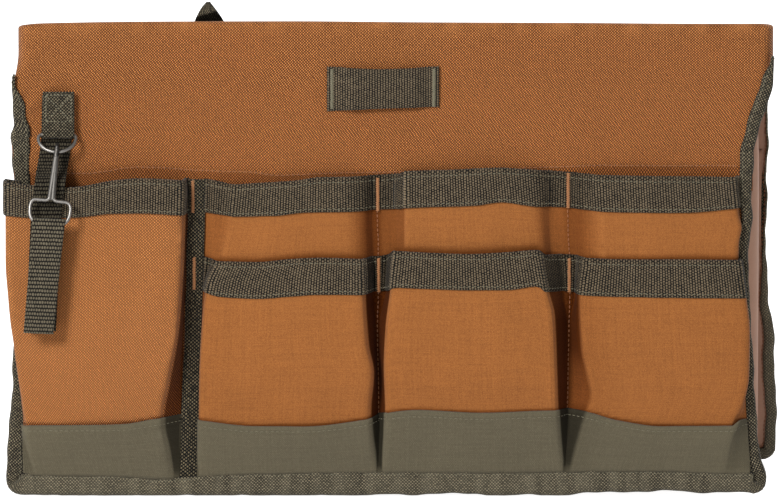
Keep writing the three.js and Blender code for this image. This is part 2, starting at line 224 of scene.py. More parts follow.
def rounded(points, per):
    """A smooth line through points, by Catmull-Rom."""
    p = np.asarray(points, float)
    p = np.concatenate([[2 * p[0] - p[1]], p, [2 * p[-1] - p[-2]]])
    t = np.linspace(0, 1, per, endpoint=False)[:, None]
    parts = [
        0.5 * (2 * b + (c - a) * t + (2 * a - 5 * b + 4 * c - d) * t**2 + (3 * b - a - 3 * c + d) * t**3)
        for a, b, c, d in zip(p, p[1:], p[2:], p[3:])
    ]
    return np.concatenate(parts + [p[-2:-1]])


def evenly(path, step):
    """The same line with its points a step apart."""
    path = np.asarray(path, float)
    length = lengths(path)
    count = max(int(round(length[-1] / step)), 1)
    at = np.linspace(0, length[-1], count + 1)
    return np.stack([np.interp(at, length, path[:, i]) for i in range(path.shape[1])], -1)


def belongs(piece, body, slot, *nodes):
    """What a piece moves with and the CAD nodes it stands for, which are hidden; slot, the finish it takes, is not
    used.
    """
    if body:
        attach(piece, body)
    if nodes:
        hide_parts(*nodes)


# ---- Materials ----
def linear(color):
    """A colour given as sRGB bytes, for a socket."""
    part = lambda c: c / 12.92 if c <= 0.04045 else ((c + 0.055) / 1.055) ** 2.4
    return (*(part(c / 255) for c in color), 1)


class Signal:
    """A node's output. Arithmetic on it adds math nodes."""

    def __init__(self, nodes, socket):
        self.nodes, self.socket = nodes, socket

    def __add__(self, other):
        return self.nodes.math("ADD", self, other)

    def __sub__(self, other):
        return self.nodes.math("SUBTRACT", self, other)

    def __rsub__(self, other):
        return self.nodes.math("SUBTRACT", other, self)

    def __mul__(self, other):
        return self.nodes.math("MULTIPLY", self, other)

    def __truediv__(self, other):
        return self.nodes.math("DIVIDE", self, other)

    def __pow__(self, other):
        return self.nodes.math("POWER", self, other)


class Nodes:
    """Short names for the nodes of one material."""

    def __init__(self, name):
        self.material = bpy.data.materials.new(name)
        self.material.use_nodes = True
        self.tree = self.material.node_tree
        self.shader = self.tree.nodes["Principled BSDF"]

    def new(self, kind, **inputs):
        node = self.tree.nodes.new("ShaderNode" + kind)
        for key, value in inputs.items():
            self.put(node.inputs[key.replace("_", " ")], value)
        return node

    def put(self, socket, value):
        if isinstance(value, Signal):
            self.tree.links.new(value.socket, socket)
        else:
            socket.default_value = value

    def out(self, node, name=0):
        return Signal(self, node.outputs[name])

    def math(self, operation, a, b=None, clamp=False):
        node = self.tree.nodes.new("ShaderNodeMath")
        node.operation, node.use_clamp = operation, clamp
        self.put(node.inputs[0], a)
        if b is not None:
            self.put(node.inputs[1], b)
        return self.out(node)

    def noise(self, vector, scale, detail=2.0):
        return self.out(self.new("TexNoise", Vector=vector, Scale=scale, Detail=detail))

    def stretched(self, vector, scale):
        """The vector with its axes scaled, so that noise on it runs in streaks."""
        return self.out(self.new("Mapping", Vector=vector, Scale=scale))

    def position(self):
        return self.out(self.new("NewGeometry"), "Position")

    def weave(self):
        uv = self.new("UVMap")
        uv.uv_map = "weave"
        return self.out(uv, "UV")

    def rgb(self, red, green, blue):
        return self.out(self.new("CombineColor", Red=red, Green=green, Blue=blue))

    def mix(self, factor, a, b, blend="MIX"):
        node = self.tree.nodes.new("ShaderNodeMix")
        node.data_type, node.blend_type = "RGBA", blend
        self.put(node.inputs["Factor"], factor)
        self.put(node.inputs[6], a)
        self.put(node.inputs[7], b)
        return self.out(node, 2)

    def finish(self, color, roughness, height=None, relief=0.0, **fixed):
        self.put(self.shader.inputs["Base Color"], color)
        self.put(self.shader.inputs["Roughness"], roughness)
        for key, value in fixed.items():
            self.shader.inputs[key.replace("_", " ")].default_value = value
        if height is not None:
            bump = self.new("Bump", Height=height)
            bump.inputs["Distance"].default_value = relief * MM
            bump.inputs["Strength"].default_value = 1.0
            self.tree.links.new(bump.outputs["Normal"], self.shader.inputs["Normal"])
        return self.material


def woven(name, light, dark, pitch, contrast, slub, relief=0.2, worn_and_lit=None, two_tone=0.0, ribs=False, speckle=0.0,
          warm=0.0):
    """Woven cloth on the "weave" map: threads `pitch` apart across and along it, light where they cross over.

    two_tone darkens the threads that run one way; ribs turns the pattern to columns of separate dots; speckle
    makes single crossings lighter and darker; warm keeps red in the painted shade. The attribute read here is above 0
    where cloth is rubbed and where light is painted on it, both mixed towards the worn colour, and below 0 where
    shade is painted into the cloth, darkening it."""
    n = Nodes(name)
    uv = n.weave()
    shift = (n.noise(uv, 0.35) - 0.5) * 0.9
    xy = n.new("SeparateXYZ", Vector=uv)
    a, b = ((n.out(xy, axis) + shift) / p for axis, p in zip("XY", pitch))
    wave = lambda t: n.math("SINE", t * math.pi)
    sa, sb = wave(a), wave(b)
    over = n.math("GREATER_THAN", sa * sb, 0.0)
    ha, hb = n.math("ABSOLUTE", sa), n.math("ABSOLUTE", sb)
    warp, weft = ha * (hb * 0.45 + 0.55), hb * (ha * 0.45 + 0.2)
    height = over * (warp - weft) + weft
    shown = height * (1.0 - (1.0 - over) * two_tone)
    if ribs:
        dots = n.math("ABSOLUTE", wave(b + n.math("FLOOR", a) * 0.5))
        shown = height = ha * (dots * 0.8 + 0.2)
    random = lambda x, y: n.out(
        n.new("TexWhiteNoise", Vector=n.out(n.new("CombineXYZ", X=n.math("FLOOR", x), Y=y))), "Value")
    thread = random(a, 3.0) + random(b, 8.0)
    slubs = n.noise(n.stretched(uv, (0.04, 0.9, 1)), 1.0) + n.noise(n.stretched(uv, (0.9, 0.04, 1)), 1.0)
    patches = n.noise(uv, 0.03, 3.0)
    tone = (thread - 1.0) * slub + 1.0 + (slubs - 1.0) * (4 * slub) + (patches - 0.5) * 0.1
    odd = random(a, n.math("FLOOR", b)) - 0.5
    shown = shown * (odd * (2 * speckle) + 1.0)
    value = n.math("ADD", (shown - 0.5) * contrast, 0.5, clamp=True)
    color = n.mix(1.0, n.mix(value, linear(dark), linear(light)), n.rgb(tone, tone, tone), "MULTIPLY")
    attribute = n.new("Attribute")
    attribute.attribute_name = "wear_and_painted_light"
    wear_and_painted_light = n.out(attribute, "Fac")
    # Rubbed wear and painted light: above 0 the colour is mixed towards the worn colour.
    if worn_and_lit is not None:
        color = n.mix(wear_and_painted_light, color, linear(worn_and_lit))
    # Painted shade: below 0 the colour is darkened, keeping red by warm, and sheen and specular drop with it.
    unshaded = n.math("ADD", wear_and_painted_light, 1.0, clamp=True)
    color = n.mix(1.0, color, n.rgb(unshaded ** (1 - warm), unshaded, unshaded ** (1 + warm)), "MULTIPLY")
    n.put(n.shader.inputs["Sheen Weight"], unshaded * 0.12)
    n.put(n.shader.inputs["Specular IOR Level"], unshaded * 0.2)
    return n.finish(color, 0.85, height, relief, Sheen_Roughness=0.5)


def coated():
    """The smooth coated back of the cloth, with a faint weave under it."""
    n = Nodes("coated_back")
    uv = n.weave()
    fine, broad = n.noise(uv, 1.1, 4.0), n.noise(uv, 0.06)
    color = n.mix(fine * 0.4 + broad * 0.6, linear((162, 119, 97)), linear((206, 158, 131)))
    return n.finish(color, broad * 0.2 + 0.4, fine, 0.08, Specular_IOR_Level=0.4)


def twisted(name, light, dark):
    """Twisted thread."""
    n = Nodes(name)
    noise = n.noise(n.position(), 1500.0)
    return n.finish(n.mix(noise, linear(dark), linear(light)), 0.55, noise, 0.1, Sheen_Weight=0.2)


def nickel(name, dark, light, dullness):
    """Nickel plate, slightly dulled, with fine scratches."""
    n = Nodes(name)
    where = n.position()
    cloud, scratch = n.noise(where, 260.0, 3.0), n.noise(n.stretched(where, (900, 900, 6000)), 1.0)
    color = n.mix(cloud, linear(dark), linear(light))
    return n.finish(color, cloud * 0.22 + dullness, scratch, 0.02, Metallic=0.9)


CANVAS = woven("canvas_coarse", (242, 157, 85), (74, 36, 15), (0.94, 0.94), 1.1, 0.04, worn_and_lit=(206, 134, 76),
               two_tone=0.75, speckle=0.12, warm=0.2)
POCKET = woven("canvas_fine", (197, 126, 64), (122, 69, 29), (0.52, 0.52), 1.0, 0.07, 0.05, worn_and_lit=(204, 136, 78),
               speckle=0.35, warm=0.2)
BASE = woven("base_panel", (118, 110, 89), (82, 75, 58), (0.6, 0.9), 0.8, 0.05, 0.05, worn_and_lit=(130, 123, 101),
             speckle=0.3)
RIBBED = woven("ribbed_webbing", (120, 105, 83), (3, 3, 2), (1.75, 1.5), 2.8, 0.1, 0.4, ribs=True, speckle=0.22)
STRAP = woven("strap_webbing", (114, 105, 86), (4, 3, 2), (2.6, 1.7), 1.7, 0.1, 0.4, ribs=True, speckle=0.15)
NARROW = woven("binding_tape", (143, 132, 107), (24, 21, 15), (1.05, 1.05), 1.3, 0.14, 0.3, worn_and_lit=(170, 160, 134),
               two_tone=0.8, speckle=0.45)
DARK_NARROW = woven("divider_webbing", (124, 112, 86), (5, 4, 2), (1.15, 1.15), 1.4, 0.16, 0.35, two_tone=0.8,
                    speckle=0.5)
COATED = coated()
ORANGE_THREAD = twisted("orange_thread", (192, 124, 72), (110, 60, 28))
TACK_THREAD = twisted("tack_thread", (206, 141, 86), (126, 78, 42))
OLIVE_THREAD = twisted("olive_thread", (148, 142, 114), (74, 68, 50))
NICKEL = nickel("nickel_wire", (124, 120, 115), (180, 176, 170), 0.3)
# The stem's copy of the nickel is rougher, and painted darker for shade on it.
DULL_SHADED_NICKEL = nickel("nickel_stem", (86, 83, 79), (132, 128, 123), 0.42)


# ---- Thread ----
THREADS = {}
SEAM_STITCH = 2.2, 0.9, 0.7


def stitch(group, path, normal, length=2.3, gap=0.8, width=0.55, seed=1):
    """A row of stitches along a path of points in millimetres, lying on a surface with that outward normal."""
    path = np.asarray(path, float)
    normal = np.broadcast_to(np.asarray(normal, float), path.shape)
    rng = np.random.default_rng(seed)
    line = evenly(np.concatenate([path, normal], 1), length + gap)
    middle = (line[:-1, :3] + line[1:, :3]) / 2
    out = unit(line[:-1, 3:] + line[1:, 3:])
    along = unit(line[1:, :3] - line[:-1, :3])
    side = unit(np.cross(out, along))
    along = unit(along + side * rng.normal(0, 0.06, (len(along), 1)))
    middle = middle + side * rng.normal(0, 0.08, (len(along), 1))
    THREADS.setdefault(group, []).append((middle, along, side, out, length / 2, width / 2))


def bar_tack(group, x, out, low, high, side="front"):
    """A close zigzag: threads laid across, one above the other."""
    width, step, radius = 2.5, 0.62, 0.36
    up = np.arange(low, high, step)
    middle = place(np.full_like(up, x) + ripple(up, 0, 3, 0.08, 5), out, up, side)
    origin = place(0, 0, 0, side)
    slant = np.where(np.arange(len(up)) % 2, 0.3, -0.12)[:, None]
    across = unit(place(1, 0, 0, side) - origin + slant * (place(0, 0, 1, side) - origin))
    outward = np.broadcast_to(place(0, 1, 0, side) - origin, middle.shape)
    along = unit(np.cross(outward, across))
    THREADS.setdefault(group, []).append((middle, across, along, outward, width / 2, radius))


def sew(group, material, body=None, *nodes):
    """All the stitches of a group as one piece."""
    rings, sides = np.array([-1, -0.8, -0.3, 0.3, 0.8, 1.0]), 6
    swell = np.array([0.15, 0.7, 1, 1, 0.7, 0.15])
    dip = np.array([-0.5, -0.15, 0.25, 0.25, -0.15, -0.5])
    angle = np.linspace(0, 2 * math.pi, sides, endpoint=False)
    points, faces, start = [], [], 0
    k = np.arange(len(rings) * sides).reshape(len(rings), sides)
    r = np.roll(k, -1, 1)
    quads = np.stack([k[:-1], k[1:], r[1:], r[:-1]], -1).reshape(-1, 4)
    caps = [k[0].tolist(), k[-1, ::-1].tolist()]
    for middle, along, side, out, half, radius in THREADS[group]:
        body_points = (
            middle[:, None, None]
            + along[:, None, None] * (rings * half)[None, :, None, None]
            + side[:, None, None] * (np.cos(angle)[None, :] * swell[:, None] * radius)[None, :, :, None]
            + out[:, None, None]
            * (np.sin(angle)[None, :] * swell[:, None] * radius * 0.8 + dip[:, None] * radius)[None, :, :, None]
        )
        points.append(body_points.reshape(-1, 3))
        for i in range(len(middle)):
            base = start + i * k.size
            faces += (quads + base).tolist()
            faces += [[v + base for v in cap] for cap in caps]
        start += len(middle) * k.size
    piece = mesh_object("thread_" + group, np.concatenate(points), faces, [material])
    belongs(piece, body, "thread", *nodes)
    return piece


# ---- Outlines of the aprons, as x at each height ----
OUTLINE = {
    "front": (
        curve((0, -249.6), (12, -250.4), (30, -249), (55, -247), (80, -244.6), (150, -244.2), (207, -244),
              (229, -245.2), (237, -246.4), (244, -244.3), (263, -244.7), (290, -243.4)),
        curve((0, 243.2), (12, 243.4), (27, 239.6), (50, 237), (100, 234.4), (154, 231.2), (170, 231.8), (184, 233.6),
              (207, 234.2), (224, 234.8), (240, 238.2), (268, 245.6), (282, 247.6), (290, 248)),
    ),
    "back": (
        curve((0, -251.6), (28, -252), (58, -250.4), (90, -248.8), (128, -245), (173, -244), (230, -244.6),
              (290, -245)),
        curve((0, 236.6), (40, 238.4), (90, 240.6), (150, 240), (240, 239.4), (290, 240)),
    ),
}
RIM_EDGE = {"front": (-241.2, 247.4), "back": (-247.4, 241.2)}
HEM_LINE = curve((-250, 14.6), (-236, 14.4), (-222, 14), (-183, 13.7), (-144, 11.6), (-127, 13), (-85, 15.2),
                 (-7, 16.1), (60, 15.8), (110, 16.4), (175, 17.1), (214, 15.4), (244, 15.2))
TOP_SAG = curve((-243, 3.2), (-222, 2.2), (-164, 1.3), (-66, 1), (0, 1.5), (110, 2), (188, 2.5), (250, 2.6))


def hang(piece):
    """Cloth that crosses the fold below the ring: its placing is baked into its points, and it is tied to no apron.
    still above it, and swinging with its apron below it.
    """
    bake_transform(piece)


def spread(*runs):
    """Joined runs of evenly spaced numbers, each given as (first, last, count)."""
    return np.concatenate([np.linspace(*run, endpoint=False) for run in runs[:-1]] + [np.linspace(*runs[-1])])


# ---- The upper cloth: the yoke, the ring's outer wall and the roll over its top, in one piece ----
SIDE_STEPS = np.array([0, 0.25, 0.8, 1.6, 2.8, 4.4, 6.4, 8.8, 11.6, 15])
YOKE_HEM = {
    "front": curve((-240, 209), (-197, 209.5), (-163, 213.4), (-124, 211.2), (-92, 210.2), (-74, 208), (-46, 209),
                   (-10, 210), (56, 211), (111, 213.8), (147, 214.4), (240, 214.2)),
    "back": curve((-240, 211), (0, 212.5), (240, 211)),
}


def upper_cloth(side):
    roll = 3.1
    sag = TOP_SAG if side == "front" else (lambda x: TOP_SAG(-x))
    peak = RIM_TOP[side] - CLOTH / 2
    width = RIM_EDGE["front"][1] - RIM_EDGE["front"][0]
    inner = np.linspace(15, width - 15, 90)[1:-1]
    across = np.concatenate([SIDE_STEPS, inner, (width - SIDE_STEPS)[::-1]]) / width
    edge_gap = np.minimum(across, 1 - across) * width
    hinge_side = np.sqrt(np.clip(1 - (1 - np.clip(edge_gap / 6, 0, 1)) ** 2, 0, 1))
    center = (peak - roll) / math.cos(TILT)
    ups = spread((0, 8, 5), (8, 40, 12), (40, center - YOKE_SEAM + 3, 34))
    rows = []

    def row(up, out, lowered, blend_in):
        z = up * math.cos(TILT)
        turned = smooth(z, 268, 292)
        low, high = (f(up) for f in OUTLINE[side])
        left = lerp(low, RIM_EDGE[side][0], turned)
        right = lerp(high, RIM_EDGE[side][1], turned)
        x = left + (right - left) * across
        wave = ripple(x, up, 95, 0.5, 11) * smooth(edge_gap, 0, 20) * blend_in
        if side == "front":
            along, off = (x + 236 + up - 256) / 2, (x + 236 - up + 256) / 1.41
            ridge = 2.0 * np.exp(-((off / 3.6) ** 2)) * smooth(along, -6, 2) * (1 - smooth(along, 10, 22))
            wave = wave + ridge * blend_in
        point = place(x, out + wave, up)
        point[:, 2] -= lowered * sag(x) + 1.2 * turned * (1 - hinge_side)
        point[:, 1] *= 1 - turned * (1 - hinge_side)
        return point

    hem = YOKE_HEM[side]
    for share, out in ((0, 0.95), (0.5, 0.95), (0.9, 1.05), (1, 1.2)):
        x = row(YOKE_SEAM, out, 0, 0)[:, 0]
        rows.append(place(x, out, lerp(YOKE_END, hem(x) + 2.6, share)))
    for rise in ups[1:]:
        x = row(YOKE_SEAM, 0, 0, 0)[:, 0]
        start = hem(x) + 3
        up = start + (center - start) * rise / ups[-1]
        height = float(np.mean(up))
        flat = row(height, lerp(1.6, 0, smooth(height, 222, 245)), smooth(height, 240, 300), smooth(height, 220, 240))
        flat[:, 2] += (up - height) * math.cos(TILT)
        flat[:, 1] += (up - height) * math.sin(TILT)
        rows.append(flat)
    last = rows[-1]
    for a in np.linspace(0, math.pi, 13)[1:]:
        over = last.copy()
        inward = roll * (1 - math.cos(a))
        over[:, 0] = np.sign(last[:, 0]) * np.maximum(np.abs(last[:, 0]) - inward * smooth(13 - edge_gap, 0, 12), 0)
        over[:, 1] = last[:, 1] + inward * hinge_side
        over[:, 2] = last[:, 2] + roll * math.sin(a) * (0.6 + 0.4 * hinge_side)
        rows.append(over)
    for drop in (3, 6, 10, 14):
        under = rows[-1].copy()
        under[:, 2] = last[:, 2] - drop
        rows.append(under)
    grid = np.array(rows)
    if side == "back":
        grid[..., :2] *= -1
    wear_and_painted_light = np.broadcast_to(
        (0.35 * smooth(np.arange(len(grid)), len(grid) - 22, len(grid) - 12))[:, None], grid.shape[:2]
    ) * (0.5 + 0.5 * ripple(grid[..., 0], grid[..., 2], 12, 1, 4))
    # Painted shade on the turned hem below the topstitch, which lies back behind the pockets' mouths; the wear above
    # is the rubbed roll over the top.
    under = 0.24 * (1 - smooth(np.arange(len(grid)), 2, 5))[:, None]
    piece = cloth("upper_cloth_" + side, grid, CLOTH, [CANVAS, COATED], wear_and_painted_light=np.clip(wear_and_painted_light, 0, 1) - under)
    hang(piece)
    belongs(piece, None, "canvas", f"rim_band_{side}", f"{side}_yoke")


# ---- The flat panel behind an apron's pockets ----
def backing(side):
    up = np.linspace(8, 217, 46)
    t = np.linspace(0, 1, 90)
    low, high = (f(up)[:, None] for f in OUTLINE[side])
    inset = lerp(8, 3, smooth(up, 8, 18))[:, None]
    x = low + inset + (high - low - 2 * inset) * t
    up = np.broadcast_to(up[:, None], x.shape)
    grid = place(x, ripple(x, up, 80, 0.25, 21), up, side)
    piece = cloth(f"apron_panel_{side}", grid, CLOTH, [CANVAS, COATED])
    belongs(piece, side + "_apron", "canvas", side + "_backing")


# ---- The binding round an apron's free edges ----
def binding(side):
    low, high = OUTLINE[side]
    bottom = curve((-250, 3.4), (-234, 1.2), (-202, 0.7), (-156, 0.5), (-62, 0.4), (-31, 0.7), (31, 1.4), (94, 1),
                   (141, 2.6), (187, 3.4), (219, 2.6), (244, 3.4))
    ends = {"front": (277, 289), "back": (280, 277)}[side]
    left_ups, right_ups = (np.linspace(end, 10, 90) for end in ends)
    left = np.stack([low(left_ups), left_ups], 1)
    right = np.stack([high(right_ups), right_ups], 1)[::-1]
    x0, x1 = float(low(6.0)), float(high(6.0))
    xs = np.linspace(x0 + 11, x1 - 11, 130)
    hem = np.stack([xs, bottom(xs)], 1)
    corner = lambda x, s: [(x + s * 0.3, 7), (x + s * 2.6, 4.0), (x + s * 7, 2.2)]
    edge = np.concatenate([left, corner(x0, 1), hem, corner(x1, -1)[::-1], right])
    step = 3.0
    edge = evenly(edge, step)
    tangent = unit(np.gradient(edge, axis=0))
    outward = np.stack([tangent[:, 1], -tangent[:, 0]], 1)
    length = np.arange(len(edge)) * step
    edge = edge + outward * (ripple(length, 0, 26, 0.55, 31))[:, None]
    edge[:, 1] = np.maximum(edge[:, 1], 0.75)
    wide_left = curve((0, 10), (217, 10.4), (239, 10.6), (248.5, 7), (256, 8.4), (264, 5), (270, 1.4), (277, 0.7))
    wide_right = curve((0, 10), (100, 9.2), (160, 7.8), (200, 7.5), (220, 7.5), (239, 8.2), (257, 7.8), (274, 6),
                       (283, 2.2), (290, 0.7))
    width = np.where(edge[:, 0] < 0, wide_left(edge[:, 1]), wide_right(edge[:, 1]))
    width = width * (1 + 0.1 * ripple(length, 3, 34, 1, 32))
    under = 1 - smooth(edge[:, 1], 3.5, 9)
    width = lerp(width, HEM_LINE(edge[:, 0]) + 0.7 - edge[:, 1] + ripple(length, 3, 20, 0.3, 35), under)
    front, back = lerp(2.35, 4.7, under), -1.5
    turned_in = curve((0, 8), (20, 6.5), (60, 7), (87, 6.5), (130, 3.6), (150, 1.4), (165, 0.7), (300, 0.7))
    inside = np.where((edge[:, 0] < 0) & (side == "back"), turned_in(edge[:, 1]), width)
    profile = [(1, front - 0.5), (0.96, front - 0.05), (0.75, front + 0.1), (0.5, front + 0.15), (0.25, front + 0.1),
               (0.08, front * 0.8), (0, 0.4), (0.04, back * 0.8), (0.3, back), (0.65, back), (1, back + 0.2)]
    columns = []
    for share, out in profile:
        point = edge - outward * ((width if np.mean(out) > 0 else np.minimum(inside, width)) * share)[:, None]
        lift = ripple(length, 9 * share, 18, 0.35, 33)
        columns.append(place(point[:, 0], out + lift, point[:, 1], side))
    grid = np.stack(columns, 1)
    across = np.cumsum(np.linalg.norm(np.diff(grid, axis=1, prepend=grid[:, :1]), axis=2), axis=1)
    uv = np.stack([across, np.broadcast_to(length[:, None], across.shape)], -1)
    rubbed = 0.2 * (1 - smooth(edge[:, 1], 3, 9)) * (0.7 + 0.3 * ripple(length, 0, 12, 1, 34))
    wear_and_painted_light = np.tile(rubbed[:, None], (1, len(profile)))
    # Painted shadow: a dark line along the binding's tucked inner edge.
    wear_and_painted_light[:, 0] = -0.7
    # Painted light: the binding's inside face, which lies in shade, is lightened towards the worn colour.
    wear_and_painted_light[:, 7:] = 0.2
    piece = cloth("binding_" + side, grid, 0.9, [NARROW, NARROW], uv=uv, wear_and_painted_light=wear_and_painted_light)
    hang(piece)
    belongs(piece, None, "binding_tape", *(f"{side}_binding_{part}" for part in ("left", "right", "hem")))
    x, up = (edge - outward * (width - 1.6)[:, None]).T
    stitch("binding_" + side, place(x, front + 0.62, up, side), facing(side), 1.9, 1.2, 0.5, seed=5)
    x, up = (edge - outward * (np.minimum(inside, width) + 0.8)[:, None]).T
    stitch("binding_inside_" + side, place(x, -CLOTH / 2 - 0.05, up, side), -facing(side), *SEAM_STITCH, seed=6)


# ---- Pockets ----
class Pocket:
    """One pocket's folded section: a sewn land, a side, the face, a side and a land, as functions of height."""

    def __init__(self, sewn, face, out, swell=((0, 2), (300, 2)), shape=1.0, radius=(1.2, 1.2), base=2.5,
                 land=((0, 0.4), (300, 0.4)), shade=(0.98, 1.4), painted_shade=(1, 1)):
        self.sewn = [curve(*c) for c in sewn]
        self.face = [curve(*c) for c in face]
        self.out = [curve(*c) for c in out]
        self.swell, self.land = curve(*swell), curve(*land)
        self.shape, self.radius, self.base, self.shade = shape, radius, base, shade
        # How much shade is painted on the left and right sides: one number or (height, amount) pairs each; shade sets
        # where along the section it fades.
        self.painted_shade = [curve(*(s if isinstance(s, list) else ((0, s), (300, s)))) for s in painted_shade]

    def at(self, t, up):
        """x and out at places t (0 to 5) along the section, for heights of the same shape."""
        pair = lambda x, out: np.stack([x, np.broadcast_to(out, x.shape)], -1)
        left, right = (f(up) for f in self.sewn)
        face_left, face_right = (f(up) for f in self.face)
        p0, p5 = pair(left, self.base), pair(right, self.base)
        p2, p3 = pair(face_left, self.out[0](up)), pair(face_right, self.out[1](up))
        room = lambda gap: np.clip(np.minimum(self.land(up), 0.75 * gap), 0.05, None)
        p1 = pair(left + room(face_left - left), self.base + 0.25)
        p4 = pair(right - room(right - face_right), self.base + 0.25)
        reach = lambda a, b, r: a + (b - a) * np.minimum(r / np.linalg.norm(b - a, axis=-1, keepdims=True), 0.45)
        a, b = reach(p2, p1, self.radius[0]), reach(p2, p3, self.radius[0])
        c, d = reach(p3, p2, self.radius[1]), reach(p3, p4, self.radius[1])
        k = lambda start, stop: np.clip((t - start) / (stop - start), 0, 1)[..., None]
        bend = lambda q0, q1, q2, s: q0 * (1 - s) ** 2 + 2 * q1 * s * (1 - s) + q2 * s**2
        stops = np.array([0, 0.35, 1, 2, 3, 4, 4.65, 5])
        parts = [
            lerp(p0, p1, k(0, 0.35)), lerp(p1, a, k(0.35, 1)), bend(a, p2, b, k(1, 2)), lerp(b, c, k(2, 3)),
            bend(c, p3, d, k(3, 4)), lerp(d, p4, k(4, 4.65)), lerp(p4, p5, k(4.65, 5)),
        ]
        index = np.clip(np.searchsorted(stops, t, side="right") - 1, 0, len(parts) - 1)
        point = np.choose(index[..., None], parts)
        bulge = np.sin(np.clip((t - 1.5) / 2, 0, 1) * math.pi) ** self.shape * self.swell(up)
        point[..., 1] += bulge
        return point[..., 0], point[..., 1]


COLUMNS = spread((0, 0.35, 3), (0.35, 1, 6), (1, 2, 4), (2, 3, 34), (3, 4, 4), (4, 4.65, 6), (4.65, 5, 4))


def row_of(pockets, up, seed=0, wave=0.3):
    """A strip of pockets side by side: x and out for rows of heights. up has one column per point of the strip."""
    xs, outs = [], []
    for i, pocket in enumerate(pockets):
        t = COLUMNS if i == 0 else COLUMNS[1:]
        heights = up[:, : len(t)]
        x, out = pocket.at(np.broadcast_to(t, heights.shape), heights)
        xs.append(x)
        outs.append(out)
    x, out = np.concatenate(xs, 1), np.concatenate(outs, 1)
    free = smooth(out, 4, 9)
    return x, out + free * (ripple(x, up[:, :1], 38, wave, seed) + ripple(x, up[:, :1], 15, wave * 0.3, seed + 1))


def strip_grid(pockets, nominal, actual, at, seed):
    """nominal heights shape the section; actual(x, k) gives where each row really lies."""
    count = len(COLUMNS) + (len(pockets) - 1) * (len(COLUMNS) - 1)
    x, out = row_of(pockets, np.broadcast_to(np.asarray(nominal, float)[:, None], (len(nominal), count)), seed)
    up = np.stack([np.broadcast_to(actual(x[k], k), x[k].shape) for k in range(len(nominal))])
    step = len(COLUMNS) - 1
    # Shade painted on each pocket's turned-in sides, darker the deeper the pocket.
    painted_shade = np.zeros(x.shape)
    for i, pocket in enumerate(pockets):
        part = slice(i * step, i * step + step + 1)
        depth = smooth(np.percentile(out[:, part], 70, axis=1), 2.8, 5.5)[:, None]
        inward = 1 - smooth(np.minimum(COLUMNS, 5 - COLUMNS), *pocket.shade)
        inward = inward * np.where(COLUMNS < 2.5, *(s(nominal)[:, None] for s in pocket.painted_shade))
        painted_shade[:, part] = np.maximum(painted_shade[:, part], depth * inward)
    return at(x, out, up), x, out, up, painted_shade


